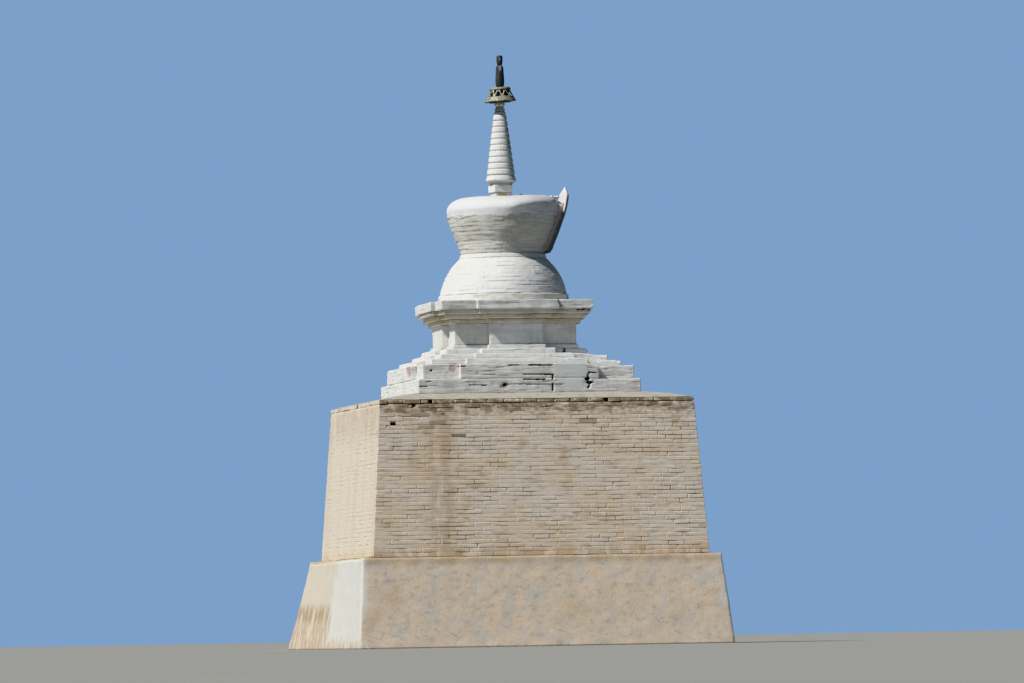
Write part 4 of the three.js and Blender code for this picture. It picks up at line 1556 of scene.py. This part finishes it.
@dataclass
class Niche:
    """The pointed shield that leans out over the bowl, with its rib, rubble and raised frame."""

    face_height: tuple[float, ...] = (5.19, 5.276, 5.435, 5.594, 5.700, 5.806, 5.965, 6.08)
    face_out: tuple[float, ...] = (0.594, 0.624, 0.692, 0.751, 0.791, 0.819, 0.847, 0.870)
    shield_width: float = 0.600
    shield_spring: float = 5.935
    thickness: float = 0.030
    rib_heights: Size = (5.215, 5.790, 5.882)
    rib_width: float = 0.500
    rib_depths: tuple[float, float] = (0.160, 0.015)
    rib_sweep: float = 0.6
    outer_arch: tuple[float, ...] = (0.560, 5.212, 5.925, 6.052)
    inner_arch: tuple[float, ...] = (0.464, 5.262, 5.890, 5.998)
    frame_depth: float = 0.014
    lumps: int = 46
    lump_radii: tuple[float, float] = (0.016, 0.029)
    rubble_half: float = 0.24
    stone: Size = (0.42, 0.127, 5.942)
    stone_radius: float = 0.022

    def half_width(
        self, height: Array, width: float, spring: float, tip: float, sweep: float = 1.4
    ) -> Array:
        """Half width of an arch: straight jambs to the spring, then cos(90 deg t)^sweep to the tip.

        Args:
            height: The heights.
            width: Full width between the jambs.
            spring: Height of the spring.
            tip: Height of the tip.
            sweep: How sharply the flanks close.

        Returns:
            The half width at each height.
        """
        share = np.clip((height - spring) / (tip - spring), 0, 1)
        return 0.5 * width * np.maximum(np.cos(0.5 * math.pi * share), 0) ** sweep

    def out_at(self, height: Array) -> Array:
        """How far out the shield's front stands at each height."""
        return np.interp(height, self.face_height, self.face_out)

    def leaf(self, heights: Size, width: float, back: float, front: float = 0, sweep: float = 1.4) -> Surface:
        """An upright leaf with a rounded edge, thinner at its tip: a flattened loop at each height.

        Args:
            heights: Of its foot, of the spring where its flanks begin to close, and of its tip.
            width: Its full width.
            back: How far its back lies behind the shield's front.
            front: How far its front lies behind the shield's front.
            sweep: How sharply its flanks close.

        Returns:
            Its surface, marked dark along its front edge as painted shade.
        """
        foot, spring, tip = heights
        height = (foot + (tip - foot) * (1 - (1 - np.linspace(0, 1, 76)) ** 1.4))[:, None]
        half = np.maximum(self.half_width(height, width, spring, tip, sweep), 0.0015)
        loop = circle(56)
        across, through = (np.sign(loop) * np.abs(loop) ** 0.35).T
        thin = 1 - 0.65 * smoothstep(height, tip - 0.11, tip)
        out = self.out_at(height) - (back + front) / 2 + (back - front) / 2 * thin * through
        rows = joined(half * across, out, height)
        bumps = 0.0025 * rough(rows, 0.08, 111)
        rows[..., 1] += bumps * through + BODY_AXIS
        rows[..., 0] += bumps * across
        # Painted shade: the flanks towards the +Y front are marked dark.
        stain = smoothstep(np.abs(across), 0.90, 0.99) * (through > -0.6) * 0.75
        return closed_skin(rows, {"joint": stain + 0 * bumps, "patch": 0 * bumps})

    def rubble(self) -> Surface:
        """Lumps of broken plaster on the cap's shoulder behind the shield, and a dark stone on its top.

        Each is a flattened ball whose radius swells and shrinks by noise.
        """
        number = np.arange(self.lumps)
        pick = [0.5 + 0.5 * lattice_of(number, 0, seed) for seed in (201, 203, 205, 207)]
        x = self.rubble_half * (2 * pick[0] - 1)
        y = 0.570 + 0.115 * pick[1] - 0.10 * np.maximum(x, 0)
        middles = np.append(joined(x, y, 5.904 + 0.026 * pick[2]), [self.stone], 0)
        least, most = self.lump_radii
        radii = np.append(least + (most - least) * pick[3], self.stone_radius)
        dark = np.append(0.25 * (pick[3] < 0.2), 0.95)
        round_lump = ball(0.2, 8, 12)
        whole = []
        for middle, radius, stain in zip(middles, radii, dark):
            swell = 1 + 0.30 * rough(round_lump + 40 * middle, 0.9, 209)
            rows = middle + radius * swell[..., None] * round_lump * [1.5, 1.2, 0.75]
            whole.append(closed_skin(rows, {"joint": stain + 0 * swell}))
        return reduce(add, whole)

    def frame(self) -> Surface:
        """The raised frame: a half-round band between an outer and an inner arch.

        Each arch is one closed path: along the foot, up a jamb, over the flanks and down again. The
        band runs across from one to the other, standing out by frame_depth * sin(180 deg t)^0.5.
        """
        share = np.linspace(0, 1, 9)[:, None]
        outer, inner = self.arch_path(*self.outer_arch), self.arch_path(*self.inner_arch)
        x, z = (outer[:, k] * (1 - share) + inner[:, k] * share for k in (0, 1))
        face = self.out_at(z) + BODY_AXIS
        fronts = joined(x, face + self.frame_depth * np.sin(math.pi * share) ** 0.5, z)
        return closed_skin(np.concatenate([fronts, joined(x, face - 0.004, z)[::-1]])[::-1], ring=True)

    def arch_path(self, width: float, foot: float, spring: float, tip: float) -> Array:
        """A closed arch, from the foot of its right jamb over its tip and back along its foot.

        Args:
            width: Full width between the jambs.
            foot: Height of the foot.
            spring: Height of the spring.
            tip: Height of the tip.

        Returns:
            Its points, as across and height.
        """
        flank = spring + (tip - spring) * (1 - (1 - np.linspace(0, 1, 26)) ** 1.5)
        heights = np.concatenate([np.linspace(foot, spring, 30), flank[1:]])
        right = joined(self.half_width(heights, width, spring, tip), heights)
        base = joined(np.linspace(-width / 2, width / 2, 20)[1:-1], foot)
        return np.concatenate([right, right[-2::-1] * [-1, 1], base])

    def build(self, workshop: Workshop) -> None:
        """Add the shield, its rib, the rubble and the frame to the scene."""
        low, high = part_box("niche_shield")
        heights = (low.z - 0.010, self.shield_spring, high.z)
        shield = self.leaf(heights, self.shield_width, self.thickness)
        x, z = np.abs(shield.points[:, 0]), shield.points[:, 2]
        # Painted shadow of the cap on the lower flanks of the shield.
        low_flank_shade = smoothstep(x, 0.27, 0.29) * (1 - smoothstep(z, 5.72, 5.77))
        shield.marks["joint"] = np.maximum(shield.marks["joint"], 0.8 * low_flank_shade)
        rib = self.leaf(self.rib_heights, self.rib_width, *self.rib_depths, self.rib_sweep)
        rib.marks["patch"] = 1 - smoothstep(rib.points[:, 2], 5.56, 5.72)
        rib.marks["joint"] *= 0.15
        frame = self.frame()
        # Painted shade: the frame is marked dark along its outer jambs.
        frame.marks["joint"] = smoothstep(np.abs(frame.points[:, 0]), 0.26, 0.275) * 0.8
        workshop.add("niche_shield_plaster", shield, SMOOTH_PLASTER, "niche_shield")
        workshop.add("niche_rib_plaster", rib, PINK_PLASTER, "niche_shield")
        workshop.add("niche_rubble", self.rubble(), SMOOTH_PLASTER, "niche_shield")
        workshop.add("niche_frame_plaster", frame, LIMEWASH, "niche_frame")


@dataclass
class Spire:
    """Thirteen rings on a square box, and the collar with its beads."""

    lowest: Profile = (
        (0.146, 0.0), (0.149, 0.008), (0.149, 0.026), (0.163, 0.034), (0.180, 0.048), (0.195, 0.058),
        (0.199, 0.064), (0.199, 0.074), (0.196, 0.085), (0.191, 0.100), (0.186, 0.115), (0.180, 0.125),
    )
    lips: tuple[float, ...] = (0.199, *(0.093 + 0.0101 * (11 - n) for n in range(2, 12)), 0.077, 0.066)
    groove: float = 0.015
    footing: tuple[float, float] = (0.112, -0.064)
    box: tuple[float, float] = (0.126, -0.075)
    box_turn: float = math.radians(10)
    beads: int = 6
    bead_radius: float = 0.018
    bead_ring: tuple[float, float] = (0.057, 7.159)
    pale: tuple[Flaw, ...] = (
        Flaw(PATCHED, ((-0.16, 5.97), (-0.125, 5.97)), 0.07, 0.002),
        Flaw(PATCHED, ((0.070, 5.97), (0.14, 5.97)), 0.06, 0.002),
        Flaw(PATCHED, ((-0.14, 5.965), (0.14, 5.965)), 0.10, 0.002, Face.WASHED),
    )

    def build(self, workshop: Workshop) -> None:
        """Add the box, the rings and the collar to the scene."""
        fine = Coursing(0.05, 0.004, 0.003, 0.2, 0.2, 0.001, 0.0015, 0.002, 0.006, 0.3, 121)
        sizes = {"reach": 0.05, "spacing": 0.008, "edge": 0.006, "turn": self.box_turn}
        for node, (half, axis), finish, flaws in (
            ("harmika_footing", self.footing, OCHRE_LIME, self.pale),
            ("harmika", self.box, BOX_LIMEWASH, ()),
        ):
            SteppedCourse(node, half, 0.0, fine, finish, flaws, axis, **sizes).build(workshop)
        for number in range(1, len(self.lips) + 1):
            self.ring(workshop, number)
        self.collar(workshop)

    def side(self, number: int) -> Array:
        """Radius and height pairs of a ring's side, from its foot up.

        The lowest has a round neck and an underside that slopes out to its lip. The others have a
        rounded lip low down, a side that slopes in, and a groove at each end.
        """
        low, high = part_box(f"spire_ring_{number:02d}")
        lip = self.lips[number - 1]
        if number == 1:
            return np.array([*self.lowest, (lip - 0.027, high.z - low.z)]) + [0, low.z]
        share = np.linspace(0, 1, 22)
        taper = 0.0105 if number < 12 else 0.005
        foot = np.clip(1 - share / 0.26, 0, 1) ** 2.2 * self.groove
        head = np.clip((share - 0.78) / 0.22, 0, 1) ** 2 * self.groove * 0.6
        radius = lip - taper * np.clip(share - 0.25, 0, 1) - foot - head
        return joined(radius, low.z + (high.z - low.z) * share)

    def ring(self, workshop: Workshop, number: int) -> None:
        """Add the ring of that number, from 1 at the bottom, with its grooves darkened as painted shade."""
        node, lip = f"spire_ring_{number:02d}", self.lips[number - 1]
        side = self.side(number)
        profile = (side[0] * [0.5, 1], *side, side[-1] * [0.5, 1])
        plain = Coursing.plain(130 + number, 0.0012, 0.0022, 0.0004)
        finish = RING_LIMEWASH if number < 12 else GREENED_LIME
        surface = Turned(node, profile, plain, finish, SPIRE_AXIS, around=84, step=0.006).surface()
        depth = lip - 0.004 - np.hypot(surface.points[:, 0], surface.points[:, 1] - SPIRE_AXIS)
        # Painted shade in the grooves under each ring's lip.
        surface.marks["joint"] = smoothstep(depth, 0.007, 0.024) * 0.55
        workshop.add(f"{node}_lime", surface, finish, node)

    def collar(self, workshop: Workshop) -> None:
        """Add the collar with its pale beads, which are slightly flattened balls."""
        low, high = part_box("spire_collar")
        top = high.z + 0.004
        profile = ((0.03, low.z), (0.050, low.z), (0.052, 7.140), (0.063, 7.174), (0.063, top), (0.03, top))
        plain = Coursing.plain(151, 0.001, 0.0015)
        piece = Turned("spire_collar", profile, plain, GREENED_LIME, SPIRE_AXIS, around=64, step=0.005)
        workshop.add("spire_collar_lime", piece.surface(), GREENED_LIME, "spire_collar")
        out, height = self.bead_ring
        beads = []
        for angle in 2 * math.pi * (np.arange(self.beads) + 0.2) / self.beads:
            middle = (out * math.cos(angle), out * math.sin(angle) + SPIRE_AXIS, height)
            beads.append(closed_skin(middle + self.bead_radius * ball(0.18, 10, 16) * [1, 1, 0.88]))
        workshop.add("collar_beads", reduce(add, beads), BEAD_WHITE, "spire_collar")


@dataclass
class Parasol:
    """The pierced metal parasol, a little askew: dark core, zigzag skirt, flared rim and top plate."""

    pairs: int = 9
    foot_radius: float = 0.172
    head_radius: float = 0.122
    bar_half: tuple[float, float] = (0.0150, 0.0080)
    slope: float = 0.056
    rim_foot: Profile = (
        (0.158, 0.019), (0.195, 0.009), (0.206, 0.010), (0.2105, 0.015), (0.208, 0.022), (0.198, 0.035),
        (0.187, 0.052),
    )
    rim_head: Profile = ((0.180, -0.020), (0.176, -0.012), (0.160, -0.012), (0.157, -0.028))
    plate: Profile = (
        (0.06, -0.004), (0.134, -0.004), (0.141, 0.003), (0.142, 0.012), (0.138, 0.020), (0.129, 0.026),
    )

    def tilted(self, surface: Surface) -> Surface:
        """The same surface with its +Y side up: z + slope * (y - axis)."""
        surface.points[:, 2] += self.slope * (surface.points[:, 1] - PARASOL_AXIS)
        return surface

    def build(self, workshop: Workshop) -> None:
        """Add the core, the top plate, the rim and the skirt to the scene."""
        low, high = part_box("canopy_core")
        core = ((0.05, low.z), (0.146, low.z), (0.150, low.z + 0.01), (0.105, high.z), (0.05, high.z))
        low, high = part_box("canopy_top_plate")
        plate = (*lifted(self.plate, low.z), (0.121, high.z - 0.006), (0.04, high.z - 0.006))
        metal = Coursing.plain(161, 0.0012, 0.0025)
        for node, profile, finish in (
            ("canopy_core", core, BLACK_METAL),
            ("canopy_top_plate", plate, KHAKI_METAL),
        ):
            piece = Turned(node, profile, metal, finish, PARASOL_AXIS, around=84, step=0.008)
            workshop.add(f"{node}_round", self.tilted(piece.surface()), finish, node)
        workshop.add("canopy_rim_metal", self.tilted(self.rim()), KHAKI_METAL, "canopy_rim")
        workshop.add("canopy_skirt_metal", self.tilted(self.skirt()), KHAKI_METAL, "canopy_openwork")

    def rim(self) -> Surface:
        """The flared rim, a dented band whose section is closed round on itself."""
        low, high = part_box("canopy_rim")
        section = (*lifted(self.rim_foot, low.z), *lifted(self.rim_head, high.z), (0.155, low.z + 0.037))
        radius, height = np.array(section).T[..., None]
        turn = turns(120)
        out = radius * (1 + 0.008 * np.sin(5 * turn + 1.3) + 0.005 * np.sin(11 * turn))
        wave = 0.002 * np.sin(7 * turn)
        rows = joined(out * np.cos(turn), out * np.sin(turn) + PARASOL_AXIS, height + wave)
        return closed_skin(rows, ring=True)

    def skirt(self) -> Surface:
        """The zigzag skirt: bars that lean from the rim to the plate, no two quite alike."""
        bars = []
        for pair in range(self.pairs):
            foot = 2 * math.pi * pair / self.pairs
            for way in (-1, 1):
                odd = float(lattice_of(pair, way, 211))
                head = foot + way * math.pi / self.pairs + 0.05 * odd
                bars.append(self.bar(foot + 0.03 * odd, head, 1 + 0.25 * odd))
        return reduce(add, bars)

    def bar(self, foot: float, head: float, breadth: float) -> Surface:
        """One bar: a flattened loop carried along a path that sweeps from the foot to the head.

        Args:
            foot: Angle of its foot.
            head: Angle of its head.
            breadth: How many times as broad as usual it is.

        Returns:
            Its surface.
        """
        low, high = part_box("canopy_openwork")
        share = np.linspace(0, 1, 14)[:, None]
        angle = foot + (head - foot) * share**1.35
        radius = self.foot_radius + (self.head_radius - self.foot_radius) * share
        wide, deep = circle(10).T
        wide = self.bar_half[0] * breadth * (1 + 0.35 * np.cos(2 * math.pi * share)) * wide
        out = radius + self.bar_half[1] * deep
        turn = angle + wide / radius
        rise = low.z - 0.020 + (high.z - low.z + 0.024) * share
        return closed_skin(joined(out * np.cos(turn), out * np.sin(turn) + PARASOL_AXIS, rise))


@dataclass
class Finial:
    """The tall dark vase and its rounded head."""

    vase: Profile = (
        (0.020, 7.398), (0.042, 7.400), (0.052, 7.412), (0.0565, 7.438), (0.0585, 7.480), (0.058, 7.510),
        (0.055, 7.545), (0.0525, 7.590), (0.0510, 7.630), (0.0480, 7.655), (0.041, 7.676), (0.030, 7.687),
        (0.012, 7.688),
    )
    head: Profile = (
        (0.012, 7.687), (0.026, 7.689), (0.034, 7.700), (0.038, 7.718), (0.0405, 7.742), (0.0415, 7.775),
        (0.0405, 7.797), (0.036, 7.811), (0.028, 7.818), (0.012, 7.8195),
    )
    # Pale spots on the -X and +X sides: worn paint on the vase's neck, and a painted highlight on the head.
    pale_wear_and_highlight: tuple[Flaw, ...] = (
        Flaw(PATCHED, ((0.002, 7.672), (0.004, 7.628)), 0.034, 0.0),
        Flaw(PATCHED, ((0.0, 7.770), (0.0, 7.762)), 0.024, 0.0),
    )

    def build(self, workshop: Workshop) -> None:
        """Add the vase and its head to the scene."""
        metal = Coursing.plain(171, 0.0008, 0.0016)
        for node, profile in (("finial_body", self.vase), ("finial_head", self.head)):
            piece = Turned(node, profile, metal, BLACK_METAL, PARASOL_AXIS, around=56, step=0.006)
            piece.flaws = self.pale_wear_and_highlight
            piece.build(workshop)


@dataclass
class SteppedBase:
    """The five tiers, the waist, the corbels and the cornice, with the damage seen on them.

    Each tier is its node, its half size, half the breadth of its projection and its axis. The other
    pieces have the two sizes alone.
    """

    tiers: tuple[tuple[str, float, float, float], ...] = (
        ("tier_1", 1.475, 0.0, 0.0),
        ("tier_2", 1.400, 0.920, 0.0),
        ("tier_3", 1.260, 0.809, 0.0),
        ("tier_4", 1.110, 0.667, 0.0),
        ("tier_5", 0.950, 0.495, BODY_AXIS),
    )
    top_setback: float = 0.110
    waist_base: tuple[float, float] = (0.836, 0.384)
    waist: tuple[float, float] = (0.810, 0.358)
    corbels: tuple[tuple[float, float], ...] = ((0.867, 0.411), (0.924, 0.463), (0.981, 0.516))
    cornice: tuple[float, float] = (1.014, 0.546)
    cornice_reach: float = 0.20
    flaws: tuple[Flaw, ...] = (
        Flaw(PATCHED, ((0.42, 3.60), (0.66, 3.60), (0.58, 3.42)), 0.20, 0.003),
        Flaw(CRACK, ((-0.27, 3.660), (-0.13, 3.659)), 0.012, 0.03),
        Flaw(CRACK, ((0.00, 3.660), (0.30, 3.656)), 0.016, 0.045),
        Flaw(CRACK, ((-0.08, 3.541), (0.308, 3.536), (0.308, 3.470)), 0.013, 0.04),
        Flaw(CRACK, ((-0.076, 3.474), (0.197, 3.470)), 0.014, 0.04),
        Flaw(CRACK, ((0.306, 3.415), (0.305, 3.330)), 0.018, 0.05),
        Flaw(CRACK, ((-0.29, 3.413), (0.44, 3.404)), 0.008, 0.02),
        Flaw(CRACK, ((0.886, 3.570), (0.788, 3.570), (0.765, 3.479)), 0.013, 0.05),
        Flaw(CRACK, ((0.816, 3.440), (0.772, 3.352)), 0.016, 0.05),
        Flaw(HOLE, ((0.755, 3.480), (0.775, 3.480)), 0.034, 0.07),
        Flaw(HOLE, ((0.775, 3.432), (0.82, 3.438)), 0.030, 0.07),
        Flaw(HOLE, ((-0.34, 3.405), (-0.32, 3.412)), 0.040, 0.06),
        Flaw(FALLEN, ((-0.36, 3.385), (-0.30, 3.385)), 0.055, 0.012),
        Flaw(HOLE, ((-1.295, 3.603), (-1.285, 3.603)), 0.026, 0.05),
        Flaw(FALLEN, ((-1.005, 3.65), (-0.985, 3.62)), 0.095, 0.008),
        Flaw(FALLEN, ((0.63, 3.635), (0.85, 3.625)), 0.150, 0.009, Face.WASHED),
        Flaw(CRACK, ((-1.365, 3.456), (-1.306, 3.456)), 0.011, 0.03),
        Flaw(CRACK, ((-1.452, 3.394), (-1.358, 3.393)), 0.011, 0.03),
        Flaw(CRACK, ((-0.79, 3.407), (-0.575, 3.404)), 0.011, 0.03),
        Flaw(CRACK, ((-0.927, 3.651), (-0.848, 3.650)), 0.011, 0.03),
        Flaw(CRACK, ((0.655, 3.96), (0.65, 3.90), (0.64, 3.83)), 0.020, 0.05),
    )
    corbel_gaps: tuple[Flaw, ...] = (
        Flaw(CRACK, ((0.80, 4.402), (0.90, 4.405)), 0.014, 0.04),
        Flaw(CRACK, ((0.95, 4.400), (1.04, 4.404)), 0.016, 0.04),
    )
    cornice_notch: tuple[Flaw, ...] = (Flaw(CRACK, ((0.54, 4.53), (0.56, 4.45)), 0.020, 0.012),)

    def build(self, workshop: Workshop) -> None:
        """Add the stepped pieces to the scene."""
        tiers = [self.tier(number) for number in range(len(self.tiers))]
        thin = Coursing(0.052, 0.005, 0.007, 0.28, ripple=0.002, lumps=0.003, seed=301)
        course = SteppedCourse("waist_base_course", *self.waist_base, thin, STREAKED_LIMEWASH)
        even = Coursing(0.056, 0.005, 0.004, 0.12, ripple=0.0015, lumps=0.004, seed=321)
        waist = SteppedCourse("waist_block", *self.waist, even, STREAKED_LIMEWASH)
        waist.spacing, waist.row_step = 0.018, 0.010
        corbels = [self.corbel(number) for number in range(len(self.corbels))]
        slab = Coursing(0.041, 0.005, 0.005, 0.30, ripple=0.0025, seed=401, chips=0.018)
        cornice = SteppedCourse("cornice_slab", *self.cornice, slab, CORNICE_LIMEWASH, self.cornice_notch)
        cornice.reach = self.cornice_reach
        for piece in (*tiers, course, waist, *corbels, cornice):
            piece.build(workshop)

    def tier(self, number: int) -> SteppedCourse:
        """The tier of that number, from 0 up: two large ones, with more open joints, and the thin ones."""
        node, corner, width, axis = self.tiers[number]
        large = number < 2
        share, chips = (0.36, 0.012) if large else (0.27, 0.018)
        coursing = Coursing(seed=200 + 20 * number, joint_share=share, chips=chips)
        finish = TIER_LIMEWASH if large else LIMEWASH
        piece = SteppedCourse(node, corner, width, coursing, finish, self.flaws, axis, edge=0.012)
        piece.setback = self.top_setback if number == 4 else 0.0
        if large:
            piece.spacing, piece.row_step = 0.0135, 0.0068
        return piece

    def corbel(self, number: int) -> SteppedCourse:
        """The corbel course of that number, from 0 up, with worn and chipped edges."""
        coursing = Coursing(0.059, 0.005, 0.004, 0.2, seed=360 + 20 * number, chips=0.030)
        node, sizes = f"corbel_course_{number + 1}", self.corbels[number]
        return SteppedCourse(node, *sizes, coursing, TAN_CORBELS, self.corbel_gaps, edge=0.014)


@dataclass
class RoundBody:
    """Ring, dome, neck ring, bowl and cap."""

    ring_radius: float = 0.862
    dome: tuple[float, float, float] = (0.845, 0.801, 4.530)
    neck_radius: float = 0.568
    bowl: Profile = (
        (0.54, 5.178), (0.560, 5.178), (0.604, 5.331), (0.653, 5.437), (0.694, 5.543), (0.730, 5.690),
        (0.70, 5.690),
    )

    def build(self, workshop: Workshop) -> None:
        """Add the round pieces to the scene."""
        low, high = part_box("dome_base_ring")
        r = self.ring_radius
        ring = (
            (r - 0.03, low.z), (r - 0.008, low.z), (r, low.z + 0.008), (r, high.z - 0.012),
            (r - 0.012, high.z), (r - 0.05, high.z),
        )
        coarse = Coursing(0.05, 0.005, 0.008, 0.4, seed=501)
        Turned("dome_base_ring", ring, coarse, DUSTY_LIMEWASH).build(workshop)
        low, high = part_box("dome")
        dome = ellipse(*self.dome, low.z, high.z)
        dome = ((dome[0][0] - 0.02, low.z), *dome, (dome[-1][0] - 0.02, high.z))
        fine = Coursing(0.052, 0.0045, 0.007, 0.52, 0.215, 0.003, 0.003, 0.004, seed=521)
        Turned("dome", dome, fine, DOME_LIMEWASH, step=0.0070).build(workshop)
        low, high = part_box("neck_ring")
        r = self.neck_radius
        neck = (
            (r - 0.02, low.z), (r + 0.004, low.z), (r + 0.006, low.z + 0.010), (r, low.z + 0.034),
            (r - 0.006, high.z - 0.008), (r - 0.012, high.z), (r - 0.03, high.z),
        )
        soft = Coursing(0.05, 0.005, 0.004, -0.3, relief=0.001, seed=511)
        Turned("neck_ring", neck, soft, DOME_LIMEWASH, around=300).build(workshop)
        bare = Coursing(BOWL_COURSE, 0.005, 0.004, 0.2, 0.19, 0.003, 0.003, 0.003, seed=541)
        Bowl("bowl", self.bowl, bare, BARE_COURSES).build(workshop)
        low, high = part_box("bowl_cap")
        cap = Cap("bowl_cap", (), Coursing.plain(561, 0.0025, 0.009), CAP_PLASTER, step=0.013)
        cap.profile = cap.side(low.z, high.z)
        cap.build(workshop)


@dataclass
class Studio:
    """Camera, sun, sky and floor."""

    position: Size = (96.674, -17.981, 0.129)
    azimuth: float = 79.437
    elevation: float = -2.27
    roll: float = -0.974
    lens: float = 261.7
    sensor: float = 36.0
    clip_end: float = 1000.0
    sun_from: Size = (0.27, -0.60, 0.79)
    sun_strength: float = 3.9
    sun_spread: float = 2.0
    sun_colour: Colour = (1.0, 0.975, 0.93)
    sky_low: Colour = (0.24, 0.39, 0.62)
    sky_high: Colour = (0.092, 0.118, 0.165)
    sky_rise: tuple[float, float] = (0.10, 0.25)
    floor: Colour = (0.37, 0.362, 0.335)
    floor_half: float = 400.0

    def build(self) -> None:
        """Set up the scene around the object."""
        scene = bpy.context.scene
        scene.view_settings.view_transform = "Khronos PBR Neutral"
        camera = bpy.data.objects.new("camera", bpy.data.cameras.new("camera"))
        camera.data.lens = self.lens
        camera.data.sensor_width = self.sensor
        camera.data.clip_end = self.clip_end
        camera.matrix_world = self.view_matrix()
        scene.camera = camera
        sun = bpy.data.objects.new("sun", bpy.data.lights.new("sun", "SUN"))
        sun.data.energy = self.sun_strength
        sun.data.angle = math.radians(self.sun_spread)
        sun.data.color = self.sun_colour
        sun.rotation_mode = "QUATERNION"
        sun.rotation_quaternion = Vector(self.sun_from).to_track_quat("Z", "Y")
        for made in (camera, sun):
            scene.collection.objects.link(made)
        self.hang_sky(scene)
        self.lay_floor(scene)

    def view_matrix(self) -> Matrix:
        """Place and turn of the camera, from its azimuth, elevation and roll."""
        azimuth, elevation = math.radians(self.azimuth), math.radians(self.elevation)
        flat = math.cos(elevation)
        back = Vector((math.sin(azimuth) * flat, -math.cos(azimuth) * flat, math.sin(elevation)))
        right = Vector((0, 0, 1)).cross(back).normalized()
        turn = Matrix((right, back.cross(right), back)).transposed()
        turn = turn @ Matrix.Rotation(math.radians(self.roll), 3, "Z")
        return Matrix.Translation(self.position) @ turn.to_4x4()

    def hang_sky(self, scene: bpy.types.Scene) -> None:
        """Add the clear sky, paler low down, where the camera sees it."""
        scene.world = bpy.data.worlds.new("sky")
        scene.world.use_nodes = True
        nodes = Nodes(scene.world.node_tree)
        height = nodes.parts(nodes.node("ShaderNodeTexCoord", {}).outputs["Generated"])[2]
        values = {"Value": height, "From Min": self.sky_rise[0], "From Max": self.sky_rise[1]}
        rise = nodes.node("ShaderNodeMapRange", values).outputs["Result"]
        nodes.fill(nodes.tree.nodes["Background"], {"Color": nodes.mix(rise, self.sky_low, self.sky_high)})

    def lay_floor(self, scene: bpy.types.Scene) -> None:
        """Add the plain pale floor."""
        points = raised(rectangle(*np.full((2, 1), self.floor_half)), np.zeros(1))[0]
        surface = Surface(points, np.array([[3, 0, 1, 2]]), np.zeros((0, 3), dtype=int))
        floor = bpy.data.objects.new("floor", surface.mesh("floor", False))
        shade = Shade("floor")
        colour = shade.mix(shade.noise(3.0), self.floor, tuple(0.94 * c for c in self.floor))
        floor.data.materials.append(shade.finish(colour, 0.95, shade.noise(0.5), 0.0005))
        scene.collection.objects.link(floor)


def main() -> None:
    """Build the scene piece by piece."""
    logging.basicConfig(level=logging.INFO, format="%(message)s", stream=sys.stdout)
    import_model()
    Studio().build()
    workshop = Workshop()
    for assembly in (PierFoot, Pier, MortarBed, SteppedBase, RoundBody, Niche, Spire, Parasol, Finial):
        assembly().build(workshop)


if __name__ == "__main__":
    main()
